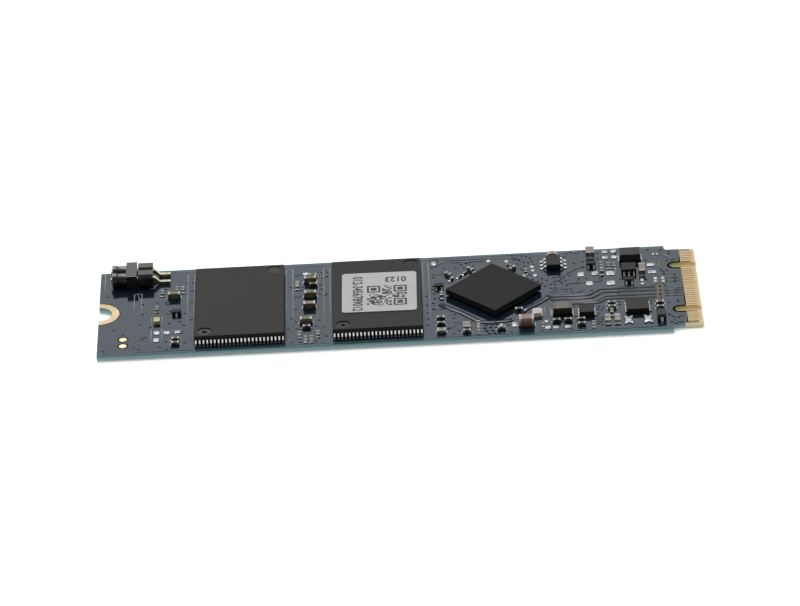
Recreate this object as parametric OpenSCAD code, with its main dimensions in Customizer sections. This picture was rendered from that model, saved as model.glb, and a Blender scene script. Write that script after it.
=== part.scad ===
// Gumstick solid state drive: a 22 x 80 mm card with parts on one side and two key notches.
// The origin is the middle of the underside. +X points to the contact edge, +Z to the parts
// side. All lengths are millimetres.

/* [Board] */
// Length from the screw end to the contact edge
board_len = 80; // [79:0.5:110]
// Width of the board
board_w = 22; // [21.6:0.1:24]
// Thickness of the board with its solder mask
board_t = 0.8; // [0.7:0.05:1.2]
// Thickness of the solder mask; copper lands lie flush with it
mask_t = 0.04; // [0.03:0.01:0.06]
// Length of the narrow tongue that enters the socket
tongue_len = 4; // [3.8:0.1:5]
// Width of the tongue
tongue_w = 19.85; // [19.6:0.05:20.2]
// Inside radius where the tongue meets the shoulders
shoulder_r = 0.5; // [0.3:0.05:0.7]
// Bare length of tongue that the solder mask leaves free
bare_len = 2.05; // [1.9:0.05:2.4]
// Length of the bevel on the contact edge
bevel_len = 0.3; // [0.2:0.05:0.4]
// Height of that bevel on each face
bevel_h = 0.12; // [0.05:0.01:0.2]

/* [Key notches] */
// Width of a key notch
key_w = 1.2; // [1.1:0.05:1.3]
// Depth of a key notch from the contact edge
key_depth = 3.5; // [3.2:0.1:3.8]
// Side position of the notch with six contacts outside it
key_far_y = 5.625; // [5.575:0.025:5.675]
// Side position of the notch with five contacts outside it
key_near_y = -6.125; // [-6.175:0.025:-6.075]

/* [Contacts] */
// Distance between contacts on one face
contact_pitch = 0.5; // [0.49:0.005:0.51]
// Width of a contact
contact_w = 0.35; // [0.25:0.01:0.4]
// Number of contact places on the upper face, notches included
contact_places = 38; // [38:1:38]

/* [Screw end] */
// Radius of the half round screw notch
notch_r = 1.75; // [1.6:0.05:1.8]
// Bare laminate between the notch and its land
notch_rim = 0.15; // [0.1:0.05:0.3]
// Outer radius of the land round the notch
land_r = 2.75; // [2.5:0.05:3]
// Radius of a test pad
test_pad_r = 0.5; // [0.4:0.05:0.6]
// Free ring of laminate round a test pad
test_pad_gap = 0.12; // [0.08:0.01:0.2]

/* [Vias] */
// Drill radius of the four plated holes by the contacts
via_r = 0.26; // [0.22:0.02:0.3]
// Thickness of the plating in those holes
plating_t = 0.06; // [0.04:0.01:0.1]
// Outer radius of a via land
via_land_r = 0.42; // [0.38:0.01:0.45]
// Distance between these vias
via_pitch = 1.03; // [1:0.01:1.2]

/* [Flash packages] */
// Width of a flash package along the board
flash_w = 12; // [11.6:0.1:12.4]
// Length of a flash body across the board
flash_l = 18.4; // [18:0.1:18.6]
// Thickness of a flash body
flash_t = 1; // [0.8:0.05:1.2]
// Clearance under a flash body
flash_standoff = 0.15; // [0.05:0.01:0.2]
// Draft of the body sides, measured along the board
flash_draft = 0.12; // [0.05:0.01:0.2]
// Reach of the flash leads beyond the body
flash_reach = 0.8; // [0.7:0.05:0.9]
// Number of leads on each side
flash_leads = 24; // [20:1:24]
// Distance between flash leads
flash_pitch = 0.5; // [0.48:0.01:0.5]
// Width of a flash lead
flash_lead_w = 0.22; // [0.15:0.01:0.3]
// Thickness of a flash lead
flash_lead_t = 0.13; // [0.1:0.01:0.16]
// Length of a flash lead's flat foot
flash_foot = 0.5; // [0.4:0.05:0.6]
// Radius of an ejector dimple
dimple_r = 0.95; // [0.8:0.05:1.1]
// Depth of an ejector dimple
dimple_depth = 0.08; // [0.05:0.01:0.15]
// Distance of a dimple from the package sides
dimple_inset = 1.4; // [1.2:0.05:2]
// Distance from the screw end to the middle of the first package
flash_a_at = 18.85; // [18.5:0.05:19.2]
// Distance between the middles of the two packages
flash_step = 18.3; // [18:0.1:18.6]

/* [Controller] */
// Side of the square controller package
ctrl_side = 9; // [8.6:0.1:9.2]
// Turn of the controller on the board, degrees
ctrl_turn = 45; // [40:1:50]
// Distance from the contact edge to the controller's middle
ctrl_at = 27.3; // [27:0.1:27.6]
// Side offset of the controller's middle
ctrl_y = 0.4; // [0:0.1:0.8]
// Thickness of the moulded cap
ctrl_cap_t = 0.62; // [0.4:0.02:0.8]
// Thickness of the laminate base
ctrl_base_t = 0.21; // [0.15:0.01:0.3]
// Height of the solder balls between base and board
ball_h = 0.22; // [0.18:0.01:0.26]
// Radius of a solder ball before it is pressed flat
ball_r = 0.17; // [0.15:0.01:0.2]
// Distance between solder balls
ball_pitch = 0.65; // [0.6:0.01:0.68]
// Balls along one side
balls_side = 13; // [9:1:13]

/* [Pin header] */
// Distance from the screw end to the header block
header_at = 5.15; // [5:0.05:5.4]
// Side position of the header's middle
header_y = 8.45; // [8.2:0.05:8.6]
// Distance between the two pins
pin_pitch = 2; // [1.9:0.05:2.1]
// Thickness of a square pin
pin_w = 0.5; // [0.45:0.01:0.55]
// Height of the pin axis over the board
pin_axis = 0.98; // [0.95:0.01:1.05]
// Length of the header block along the pins
header_len = 2; // [1.8:0.05:2.2]
// Height of the header block
header_h = 1.96; // [1.9:0.02:2.1]
// Depth of the grooves between its two pin cells
header_groove = 0.45; // [0.3:0.05:0.5]
// Run of the sloping part of a pin outside the block
pin_slope = 0.7; // [0.6:0.05:0.9]
// Length of the pin feet on the board
pin_foot = 1.5; // [1.2:0.1:1.6]

/* [Jumper shunt] */
// Gap between the shunt and the header block
shunt_gap = 0.15; // [0.1:0.05:0.3]
// Length of the shunt's square block
shunt_block = 1.45; // [1.3:0.05:1.6]
// Length of the round necks in front of the block
shunt_neck = 1.15; // [1:0.05:1.3]
// Length of the round heads at the tip
shunt_head = 0.75; // [0.6:0.05:0.9]
// Height of the shunt's block
shunt_h = 1.9; // [1.85:0.01:1.94]
// Radius of a head
shunt_head_r = 0.93; // [0.88:0.01:0.94]
// Radius of a neck
shunt_neck_r = 0.84; // [0.75:0.01:0.86]
// Stretch of pin that shows past the shunt
pin_tip = 0.2; // [0.1:0.05:0.4]
// Clearance between a pin and the shunt
shunt_clear = 0.05; // [0.03:0.01:0.08]
// Thickness of the spring sheet inside the shunt
clip_t = 0.14; // [0.1:0.01:0.18]

/* [Chip parts] */
// Small capacitor: length, width, height, end length
small_cap = [1, 0.5, 0.5, 0.25]; // [0.2:0.01:2]
// Medium capacitor: length, width, height, end length
medium_cap = [1.6, 0.8, 0.87, 0.3]; // [0.2:0.01:2]
// Large capacitor: length, width, height, end length
large_cap = [2, 1.25, 1.35, 0.35]; // [0.2:0.01:2.2]
// Small resistor: length, width, height, end length
small_res = [1, 0.5, 0.35, 0.22]; // [0.2:0.01:2]
// Tiny chip: length, width, height, end length
tiny_chip = [0.6, 0.3, 0.3, 0.15]; // [0.1:0.01:1]
// Light coloured chip: length, width, height, end length
light_chip = [1.6, 0.8, 0.5, 0.3]; // [0.2:0.01:2]
// Slim light chip: length, width, height, end length
slim_chip = [1.5, 0.55, 0.4, 0.25]; // [0.2:0.01:2]
// Tall light chip by the contacts: length, width, height, end length
tall_chip = [2.1, 0.85, 0.8, 0.35]; // [0.2:0.01:2.2]
// Brown coil: length, width, height, end length
brown_coil = [2.5, 1.65, 1.16, 0.35]; // [0.2:0.01:2.6]
// Moulded power inductor: length, width, height, end length
power_coil = [2.8, 2.1, 1.07, 0.2]; // [0.2:0.01:3]
// Thickness of the plating on chip ends
end_skin = 0.02; // [0.01:0.01:0.03]

/* [Leaded parts] */
// Regulator body: across the leads, along the leads, thickness
reg_body = [1.9, 2.8, 0.8]; // [0.5:0.05:3]
// Switch body: across the leads, along the leads, thickness
switch_body_size = [2, 2, 0.75]; // [0.5:0.05:3]
// Small transistor body: across the leads, along the leads, thickness
tran_body = [0.85, 1.25, 0.55]; // [0.3:0.05:2]
// Diode body: across the leads, along the leads, thickness
diode_body_size = [1.7, 1.2, 0.85]; // [0.3:0.05:2]
// Clearance under the small leaded bodies
small_standoff = 0.05; // [0.02:0.01:0.1]
// Thickness of their leads
small_lead_t = 0.12; // [0.08:0.01:0.15]
// Side of the large flat leadless package
qfn_side = 3; // [2.8:0.1:3.1]
// Side of the small flat leadless package
dfn_side = 2; // [1.8:0.1:2.1]
// Thickness of both leadless packages
flat_pack_t = 0.74; // [0.6:0.02:0.9]
// Distance between terminals of the leadless packages
flat_pitch = 0.5; // [0.45:0.01:0.5]

/* [Light] */
// Status light: length, width, height of its base
led_base_size = [1.6, 0.85, 0.24]; // [0.2:0.01:2]
// Status light: length, width, height of its lens
led_lens_size = [1.1, 0.8, 0.28]; // [0.2:0.01:2]

/* [Solder] */
// Reach of a solder fillet beyond a chip end
solder_reach = 0.2; // [0.1:0.01:0.22]
// Height of a solder fillet as a share of its chip end
solder_climb = 0.7; // [0.4:0.05:0.9]
// Height of a solder mound on an empty pad
mound_h = 0.09; // [0.05:0.01:0.15]

/* [Label] */
// Length of the label along the board
label_l = 9.95; // [9:0.05:10.5]
// Width of the label across the board
label_w = 10.4; // [9:0.1:12]
// Corner radius of the label
label_r = 0.5; // [0.3:0.05:1]
// Thickness of the label
label_t = 0.1; // [0.05:0.01:0.15]
// Turn of the label on its package, degrees
label_turn = -0.7; // [-2:0.1:2]

/* [Hidden] */

screw_x = -board_len / 2;
edge_x = board_len / 2;
shoulder_x = edge_x - tongue_len;
bare_x = edge_x - bare_len;
contact_y = (contact_places - 1) / 2 * contact_pitch;
over = 1; // overshoot of cuts past the faces they open
round_fn = 48;

flash_a = [screw_x + flash_a_at, 0];
flash_b = [flash_a[0] + flash_step, 0];
flash_top = board_t + flash_standoff + flash_t;
ctrl = [edge_x - ctrl_at, ctrl_y];

// Places near the screw end are measured from it; the others are measured from the contact
// edge. Each place is distance along the board, side position and turn.
function near_screw(size, places) = [for (p = places) [screw_x + p[0], p[1], p[2], size]];
function near_edge(size, places) = [for (p = places) [edge_x - p[0], p[1], p[2], size]];

small_caps = concat(
    near_screw(small_cap, [
        [10.35, -7.9, 0], [10.35, -9, 0], [28.65, 4.85, 0], [28.6, 7.3, 0], [27.7, -6.4, 0]]),
    near_edge(small_cap, [
        [34.5, -5.8, 0], [34.5, -7.3, 0], [34.25, 0.35, 90], [33.2, 5.7, -45],
        [30.2, 6.8, -45], [24.6, 6.5, 45], [24.1, -4.6, 0], [26.6, -9.3, 0],
        [31.15, -9.6, 0], [19.25, -8, 0], [17.75, -8, 0], [16, -8, 0], [16, -9.2, 0],
        [11.8, -4.1, 0], [11.8, -5.15, 0], [11.9, -6.4, 90], [12.65, 4.6, 90],
        [5.4, -4.6, 0], [5.4, -5.8, 0]]));
medium_caps = concat(
    near_screw(medium_cap, [
        [10, 3.45, 0], [28.25, 5.9, 0], [28.25, 2, 0], [28.1, -0.95, 0], [27.65, -5, 0]]),
    near_edge([1.7, 1.15, medium_cap[2], 0.15], [[14, 9.5, 90]]));
large_caps = near_edge(large_cap, [[23.25, -8.4, 0]]);
resistors = concat(
    near_screw(small_res, [
        [7.75, 0.5, 90], [8.4, 4.7, 90], [10.35, 5.5, 90], [11.15, 5.4, 90],
        [26.75, -8.2, 90], [29.2, -8.2, 90], [27.55, -9.4, 90], [28.35, -9.4, 90]]),
    near_edge(small_res, [
        [29.6, -7.7, 90], [29.6, -9.3, 90], [12.6, 6.5, 90], [11.7, 6.2, 90],
        [10.9, 6.1, 90], [14.45, -9.2, 90], [22.8, 5.7, 90]]));
tinies = near_edge(tiny_chip, [
    [32.8, 4.6, 45], [31.7, 5.3, 45], [30.95, 6.1, 45], [24.95, 7.6, -45], [21.1, -8.6, 90]]);
lights = concat(
    near_screw(slim_chip, [[26.5, 5, 90]]),
    near_edge(light_chip, [[12.5, -8.25, 90], [11.25, -8.25, 90]]),
    near_edge([1.3, 1.05, small_res[2], 0.25], [[31.15, -8, 90]]),
    near_edge([1.1, 0.9, light_chip[2], 0.25], [[34.5, -9.2, 0]]),
    near_edge([1.1, 0.8, light_chip[2], 0.25], [[19.1, 9.9, 0]]),
    near_edge(tall_chip, [[7.3, 4.25, 90]]));
brown_coils = near_edge(brown_coil, [[18.4, -5.6, 0]]);
power_coils = near_edge(power_coil, [[8.7, 8.25, 0]]);
all_chips = concat(small_caps, medium_caps, large_caps, resistors, tinies, lights,
    brown_coils, power_coils);

// Solder mounds on empty pads: the size is length along the board, width and height.
mounds = concat(
    near_screw([0.7, 0.7, mound_h], [[7.8, -5.7, 0], [7.8, -7.6, 0], [9.15, -5.8, 0]]),
    near_screw([0.65, 0.5, mound_h], [[10.6, -5.7, 0], [27.65, 8.2, 0]]),
    near_edge([1, 0.9, mound_h], [[11.5, 4.2, 0], [11.6, 1.6, 0]]),
    near_edge([0.75, 0.85, mound_h], [[15.5, 4.3, 0], [13.6, 4.4, 0], [14.45, 1.7, 0]]),
    near_edge([0.65, 0.6, mound_h], [
        [12, 10.1, 0], [10.8, 10.1, 0], [12, 8.55, 0], [10.8, 8.55, 0],
        [20.5, -9.4, 0], [19.4, -9.4, 0], [17.85, -9.4, 0]]),
    near_edge([1, 0.65, mound_h], [[6, 6, 0], [5.95, 4, 0]]),
    near_edge([0.4, 0.5, mound_h], [
        [5.6, 2.2, 0], [4.6, 2.2, 0], [5.6, 1.35, 0], [4.6, 1.35, 0], [7.4, 2, 0],
        [7.4, 1, 0], [27.7, 9.15, 0], [21.9, 7, 0], [21.85, 6, 0], [21.6, 4.65, 0],
        [25.3, 8.85, 0], [23, 4.75, 0], [26.6, -8.1, 0], [20.6, -7.8, 0]]),
    near_edge([0.25, 0.4, mound_h], [[5.5, 8.85, 0], [5, 8.8, 0]]),
    near_edge([0.5, 0.9, mound_h], [[24.85, -8.2, 0], [35.1, 9.15, 0]]),
    near_edge([1.2, 2.2, 1.8 * mound_h], [[9.8, -8.5, 0], [7.2, -8.5, 0]]));

// Leaded parts: place, side position and turn; the turn is 0 with leads on the long ends.
regulators = near_edge(reg_body, [[19.05, 7.2, 0]]);
switches = near_edge(switch_body_size, [[9.05, 4.6, 90]]);
transistors = concat(
    near_screw(tran_body, [[10.4, -0.9, 90]]),
    near_edge(tran_body, [[34.55, 2.6, -90], [14, 6.5, -90], [9.15, 1.7, -90]]));
diodes = near_edge(diode_body_size, [[5.4, -8.15, 90]]);
test_pad_places = near_screw(test_pad_r, [[3.4, -7, 0], [3.4, -8.7, 0]]);
via_places = near_edge(via_r, [for (i = [0:3]) [5.17, 0.1 - i * via_pitch, 0]]);
qfn_at = [edge_x - 8.45, -5.35];
dfn_at = [edge_x - 15.2, -6];
crystal_at = [edge_x - 21.7, -5.7];
crystal_size = [1.3, 1.7];
crystal_base_t = 0.35;
crystal_lid_t = 0.2;
crystal_wall = 0.12;
led_at = [screw_x + 7.8, -2.9];
label_at = [flash_b[0] + 0.33, 0.2];

// Moves the children to each place of a list and turns them
module at_places(places) {
    for (p = places) translate([p[0], p[1], board_t]) rotate(p[2]) {
        $size = p[3];
        children();
    }
}

// Prism of a side outline drawn in X and Z, centred on Y
module along_y(width) {
    rotate([90, 0, 0]) linear_extrude(width, center = true) children();
}

// Prism of a front outline drawn in Y and Z, centred on X
module along_x(length) {
    rotate([90, 0, 90]) linear_extrude(length, center = true) children();
}

// Disc round the middle of the screw notch
module notch_disc(radius, height) {
    translate([screw_x, 0, 0]) cylinder(r = radius, h = height, $fn = round_fn);
}

// Half ring that the land round the notch fills
module land_ring(height) {
    difference() {
        notch_disc(land_r, height);
        translate([0, 0, -over]) notch_disc(notch_r + notch_rim, height + 2 * over);
    }
}

// Outline of the board with its tongue, shoulders and key notches
module board_outline() {
    difference() {
        union() {
            translate([screw_x, -board_w / 2]) square([board_len - tongue_len, board_w]);
            translate([0, -tongue_w / 2]) square([edge_x, tongue_w]);
            for (side = [-1, 1]) shoulder_fillet(side);
        }
        for (y = [key_far_y, key_near_y]) key_notch(y);
    }
}

// Fills the inside corner between shoulder and tongue to a quarter circle
module shoulder_fillet(side) {
    difference() {
        translate([shoulder_x, side > 0 ? tongue_w / 2 - shoulder_r : -tongue_w / 2 - shoulder_r])
            square([shoulder_r, 2 * shoulder_r]);
        translate([shoulder_x + shoulder_r, side * (tongue_w / 2 + shoulder_r)])
            circle(r = shoulder_r, $fn = round_fn);
    }
}

// Slot with a round end that keys the card to its socket
module key_notch(y) {
    slot = key_depth - key_w / 2;
    translate([edge_x - slot, y - key_w / 2]) square([slot + over, key_w]);
    translate([edge_x - slot, y]) circle(d = key_w, $fn = round_fn);
}

// Side view of the board: full thickness under the mask, thinner and bevelled where bare
module board_side() {
    polygon([
        [screw_x, 0], [bare_x, 0], [bare_x, mask_t], [edge_x - bevel_len, mask_t],
        [edge_x, mask_t + bevel_h], [edge_x, board_t - mask_t - bevel_h],
        [edge_x - bevel_len, board_t - mask_t], [bare_x, board_t - mask_t],
        [bare_x, board_t], [screw_x, board_t]]);
}

module circuit_board() {
    color("slategray") difference() {
        intersection() {
            linear_extrude(board_t) board_outline();
            along_y(board_w + 2 * over) board_side();
        }
        translate([0, 0, -over]) notch_disc(notch_r, board_t + 2 * over);
        for (z = [mask_t - over, board_t - mask_t]) translate([0, 0, z]) land_ring(over);
        for (p = test_pad_places) translate([p[0], p[1], board_t - mask_t])
            cylinder(r = test_pad_r + test_pad_gap, h = over, $fn = round_fn);
        for (p = via_places) translate([p[0], p[1], 0]) {
            translate([0, 0, -over]) cylinder(r = via_r, h = board_t + 2 * over, $fn = round_fn);
            for (z = [mask_t - over, board_t - mask_t]) translate([0, 0, z])
                cylinder(r = via_land_r, h = over, $fn = round_fn);
        }
    }
}

// A contact place is free where it is clear of both key notches
function contact_fits(y) = abs(y - key_far_y) > (key_w + contact_w) / 2
    && abs(y - key_near_y) > (key_w + contact_w) / 2;

// Row of gold contacts on one face
module contact_row(first_y, places, z) {
    for (i = [0:places - 1]) {
        y = first_y - i * contact_pitch;
        if (contact_fits(y)) translate([bare_x, y - contact_w / 2, z])
            cube([bare_len - bevel_len, contact_w, mask_t]);
    }
}

module contact_pads() {
    color("goldenrod") {
        contact_row(contact_y, contact_places, board_t - mask_t);
        contact_row(contact_y - contact_pitch / 2, contact_places - 1, 0);
    }
}

// Gold land round the screw notch on both faces
module screw_land() {
    color("gold") intersection() {
        for (z = [0, board_t - mask_t]) translate([0, 0, z]) land_ring(mask_t);
        translate([screw_x, -land_r - over, -over])
            cube([land_r + over, 2 * (land_r + over), board_t + 2 * over]);
    }
}

module test_pads() {
    color("khaki") for (p = test_pad_places) translate([p[0], p[1], board_t - mask_t])
        cylinder(r = test_pad_r, h = mask_t, $fn = round_fn);
}

// Plated barrel with a land on each face
module through_vias() {
    bore = via_r - plating_t;
    color("gold") for (p = via_places) translate([p[0], p[1], 0])
        rotate_extrude($fn = round_fn) polygon([
            [bore, 0], [via_land_r, 0], [via_land_r, mask_t], [via_r, mask_t],
            [via_r, board_t - mask_t], [via_land_r, board_t - mask_t],
            [via_land_r, board_t], [bore, board_t]]);
}

// Side view of a moulded body: two drafted halves that meet at the lead band
module drafted_side(span, thick, band, draft) {
    half = span / 2;
    low = (thick - band) / 2;
    high = (thick + band) / 2;
    polygon([
        [-half + draft, 0], [half - draft, 0], [half, low], [half, high],
        [half - draft, thick], [-half + draft, thick], [-half, high], [-half, low]]);
}

// Moulded body that stands on z = 0
module moulded_body(size, band, draft) {
    intersection() {
        along_y(size[1] + over) drafted_side(size[0], size[2], band, draft);
        along_x(size[0] + over) drafted_side(size[1], size[2], band, draft);
    }
}

// Bent lead that leaves a body at x = 0 and ends in a foot on z = 0
module gull_lead(reach, rise, foot, thick, wide) {
    knee = 0.35 * (reach - foot);
    heel = reach - foot;
    along_y(wide) polygon([
        [0, rise], [knee, rise], [heel, 0], [reach, 0], [reach, thick],
        [heel + thick / 2, thick], [knee + thick / 2, rise + thick], [0, rise + thick]]);
}

// Row of leads on the +X face of a body
module lead_row(count, pitch, half, reach, rise, foot, thick, wide) {
    for (i = [0:count - 1]) translate([half, (i - (count - 1) / 2) * pitch, 0])
        gull_lead(reach, rise, foot, thick, wide);
}

// Moulded flash body with two ejector dimples and a first-pin mark
module flash_body(place) {
    mark_r = 0.3;
    translate([place[0], place[1], board_t + flash_standoff]) difference() {
        moulded_body([flash_w, flash_l, flash_t], flash_lead_t, flash_draft);
        for (corner = [-1, 1]) translate([
                corner * (flash_w / 2 - dimple_inset),
                corner * (flash_l / 2 - dimple_inset), flash_t - dimple_depth])
            cylinder(r = dimple_r, h = over, $fn = round_fn);
        translate([dimple_inset - flash_w / 2, dimple_inset - flash_l / 2,
                flash_t - 2 * dimple_depth])
            cylinder(r = mark_r, h = over, $fn = round_fn);
    }
}

// The leads of one flash package
module flash_lead_frame(place) {
    rise = flash_standoff + (flash_t - flash_lead_t) / 2;
    translate([place[0], place[1], board_t]) for (turn = [90, 270]) rotate(turn)
        lead_row(flash_leads, flash_pitch, flash_l / 2, flash_reach, rise, flash_foot,
            flash_lead_t, flash_lead_w);
}

module flash_chip_a() {
    color([0.2, 0.2, 0.2]) flash_body(flash_a);
}

module flash_leads_a() {
    color("lightgray") flash_lead_frame(flash_a);
}

module flash_chip_b() {
    color([0.2, 0.2, 0.2]) flash_body(flash_b);
}

module flash_leads_b() {
    color("lightgray") flash_lead_frame(flash_b);
}

// Paper label with round corners on the second flash package
module product_label() {
    color("gainsboro") translate([label_at[0], label_at[1], flash_top]) rotate(label_turn)
        linear_extrude(label_t) union() {
            square([label_l - 2 * label_r, label_w], center = true);
            square([label_l, label_w - 2 * label_r], center = true);
            for (x = [-1, 1], y = [-1, 1])
                translate([x * (label_l / 2 - label_r), y * (label_w / 2 - label_r)])
                    circle(r = label_r, $fn = round_fn);
        }
}

// Moves the children onto the controller's place at a height over the board
module at_controller(z) {
    translate([ctrl[0], ctrl[1], board_t + z]) rotate(ctrl_turn) children();
}

module controller_cap() {
    color([0.17, 0.17, 0.17]) at_controller(ball_h + ctrl_base_t)
        linear_extrude(ctrl_cap_t) square(ctrl_side, center = true);
}

module controller_base() {
    color("darkolivegreen") at_controller(ball_h)
        linear_extrude(ctrl_base_t) square(ctrl_side, center = true);
}

// Two rings of solder balls pressed flat between base and board
module controller_balls() {
    last = balls_side - 1;
    color("silver") at_controller(0) intersection() {
        for (i = [0:last], j = [0:last])
            if (min(i, j, last - i, last - j) < 2)
                translate([(i - last / 2) * ball_pitch, (j - last / 2) * ball_pitch, ball_h / 2])
                    sphere(r = ball_r, $fn = 24);
        linear_extrude(ball_h) square(ctrl_side, center = true);
    }
}

// Cross section of the header block: two pin cells with grooves between them
module header_section() {
    half = pin_pitch / 2;
    flat = half - header_groove;
    for (side = [-1, 1]) translate([side * half, 0]) polygon([
        [-flat, 0], [flat, 0], [half, header_groove], [half, header_h - header_groove],
        [flat, header_h], [-flat, header_h], [-half, header_h - header_groove],
        [-half, header_groove]]);
}

// Moves the children to the header's near end, middle and the board's top
module at_header(x) {
    translate([screw_x + header_at + x, header_y, board_t]) children();
}

// Moves the children onto the axis of each pin
module each_pin() {
    for (side = [-1, 1]) translate([0, side * pin_pitch / 2, pin_axis]) children();
}

module header_block() {
    color([0.12, 0.12, 0.12]) at_header(header_len / 2) difference() {
        along_x(header_len) header_section();
        each_pin() cube([header_len + 2 * over, pin_w, pin_w], center = true);
    }
}

// Side view of a pin: straight through block and shunt, then down to a foot
module pin_side() {
    tip = -shunt_gap - shunt_block - shunt_neck - shunt_head - pin_tip;
    low = pin_axis - pin_w / 2;
    high = pin_axis + pin_w / 2;
    bend = 0.1;
    heel = header_len + bend + pin_slope;
    polygon([
        [tip, low], [header_len + bend, low], [heel, 0], [heel + pin_foot, 0],
        [heel + pin_foot, pin_w], [heel + bend, pin_w], [header_len + 2 * bend, high],
        [tip, high]]);
}

module header_pins() {
    color("gold") at_header(0) for (side = [-1, 1])
        translate([0, side * pin_pitch / 2, 0]) along_y(pin_w) pin_side();
}

// Outer size of the spring sheet loop round both pins
clip_len = shunt_block - 0.3;
clip_inner = [pin_pitch + pin_w + 0.2, pin_w];

module shunt_clip() {
    color("peru") at_header(-shunt_gap - clip_len / 2) translate([0, 0, pin_axis]) difference() {
        cube([clip_len, clip_inner[0] + 2 * clip_t, clip_inner[1] + 2 * clip_t], center = true);
        cube([clip_len + over, clip_inner[0], clip_inner[1]], center = true);
    }
}

// Plastic shell of the shunt: a block with two round fingers and a groove behind their heads
module shunt_shell() {
    length = shunt_block + shunt_neck + shunt_head;
    groove = 0.06;
    room = 2 * clip_t + 2 * shunt_clear;
    color([0.14, 0.14, 0.14]) at_header(-shunt_gap) difference() {
        union() {
            translate([-shunt_block / 2, 0, pin_axis])
                cube([shunt_block, 2 * pin_pitch, shunt_h], center = true);
            each_pin() rotate([0, -90, 0]) {
                cylinder(r = shunt_neck_r, h = length, $fn = round_fn);
                translate([0, 0, shunt_block + shunt_neck + groove])
                    cylinder(r = shunt_head_r, h = shunt_head - groove, $fn = round_fn);
            }
        }
        each_pin() translate([-length / 2, 0, 0])
            cube([length + over, pin_w + 2 * shunt_clear, pin_w + 2 * shunt_clear], center = true);
        translate([-clip_len / 2 + over / 2, 0, pin_axis])
            cube([clip_len + over, clip_inner[0] + room, clip_inner[1] + room], center = true);
    }
}

// Status light with its long side across the board
module at_led(z) {
    translate([led_at[0], led_at[1], board_t + z]) rotate(90) children();
}

module led_base() {
    color("darkseagreen") at_led(led_base_size[2] / 2) cube(led_base_size, center = true);
}

module led_lens() {
    color("lightyellow") at_led(led_base_size[2] + led_lens_size[2] / 2)
        cube(led_lens_size, center = true);
}

// Body of a chip part between its two plated ends
module chip_core() {
    translate([$size[3] - $size[0] / 2, end_skin - $size[1] / 2, end_skin])
        cube([$size[0] - 2 * $size[3], $size[1] - 2 * end_skin, $size[2] - 2 * end_skin]);
}

// The two plated ends of a chip part
module chip_end_pair() {
    for (side = [-1, 1]) translate([side * ($size[0] - $size[3]) / 2, 0, $size[2] / 2])
        cube([$size[3], $size[1], $size[2]], center = true);
}

// Hollow wedge of solder against each end of a chip part
module chip_fillets() {
    climb = solder_climb * min($size[2], 2.5 * solder_reach);
    lip = 0.02;
    bow = [for (i = [0:4]) [
        solder_reach - (solder_reach - lip) * sin(i * 22.5),
        lip + (climb - lip) * (1 - cos(i * 22.5))]];
    for (side = [0, 180]) rotate(side) translate([$size[0] / 2, 0, 0])
        along_y($size[1] - 2 * end_skin)
            polygon(concat([[0, 0], [solder_reach, 0]], bow, [[0, climb]]));
}

module small_capacitors() {
    color("saddlebrown") at_places(small_caps) chip_core();
}

module medium_capacitors() {
    color("darkolivegreen") at_places(medium_caps) chip_core();
}

module large_capacitor() {
    color("rosybrown") at_places(large_caps) chip_core();
}

module chip_resistors() {
    color("dimgray") at_places(resistors) chip_core();
}

module tiny_chips() {
    color("tan") at_places(tinies) chip_core();
}

module light_chips() {
    color("tan") at_places(lights) chip_core();
}

module brown_inductor() {
    color("sienna") at_places(brown_coils) chip_core();
}

module power_inductor() {
    color([0.25, 0.25, 0.25]) at_places(power_coils) chip_core();
}

module chip_ends() {
    color("silver") at_places(all_chips) chip_end_pair();
}

module solder_fillets() {
    color("gainsboro") at_places(all_chips) chip_fillets();
}

// Side view of a solder mound with sloping flanks
module mound_side(span, height) {
    slope = 0.8 * height;
    polygon([[-span / 2, 0], [span / 2, 0], [span / 2 - slope, height],
        [-span / 2 + slope, height]]);
}

module solder_mounds() {
    color("gainsboro") at_places(mounds) intersection() {
        along_y($size[1] + over) mound_side($size[0], $size[2]);
        along_x($size[0] + over) mound_side($size[1], $size[2]);
    }
}

// Crystal: ceramic base with a smaller lid on top
module crystal_base() {
    color("cornsilk") translate([crystal_at[0], crystal_at[1], board_t])
        linear_extrude(crystal_base_t) square(crystal_size, center = true);
}

module crystal_lid() {
    color("wheat") translate([crystal_at[0], crystal_at[1], board_t + crystal_base_t])
        linear_extrude(crystal_lid_t)
            square([crystal_size[0] - 2 * crystal_wall, crystal_size[1] - 2 * crystal_wall],
                center = true);
}

// Body of a leaded part over its clearance
module small_body() {
    translate([0, 0, small_standoff]) moulded_body($size, small_lead_t, 0.06);
}

// One side's leads of a leaded part
module small_leads(turn, count, pitch, reach, wide) {
    rise = small_standoff + ($size[2] - small_lead_t) / 2;
    rotate(turn) lead_row(count, pitch, $size[0] / 2, reach, rise, 0.45 * reach,
        small_lead_t, wide);
}

module regulator_body() {
    color([0.2, 0.2, 0.2]) at_places(regulators) small_body();
}

module regulator_leads() {
    color("lightgray") at_places(regulators) for (turn = [0, 180])
        small_leads(turn, 3, 0.95, 0.8, 0.35);
}

module switch_body() {
    color([0.2, 0.2, 0.2]) at_places(switches) small_body();
}

module switch_leads() {
    color("lightgray") at_places(switches) for (turn = [0, 180])
        small_leads(turn, 3, 0.65, 0.45, 0.25);
}

module transistor_bodies() {
    color([0.2, 0.2, 0.2]) at_places(transistors) small_body();
}

module transistor_leads() {
    color("lightgray") at_places(transistors) {
        small_leads(0, 2, 0.75, 0.35, 0.25);
        small_leads(180, 1, 0.75, 0.35, 0.25);
    }
}

module diode_body() {
    color([0.2, 0.2, 0.2]) at_places(diodes) small_body();
}

module diode_leads() {
    color("lightgray") at_places(diodes) for (turn = [0, 180])
        small_leads(turn, 1, 1, 0.4, 0.35);
}

// Square leadless body
module flat_body(place, side) {
    translate([place[0], place[1], board_t]) linear_extrude(flat_pack_t)
        square(side, center = true);
}

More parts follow.
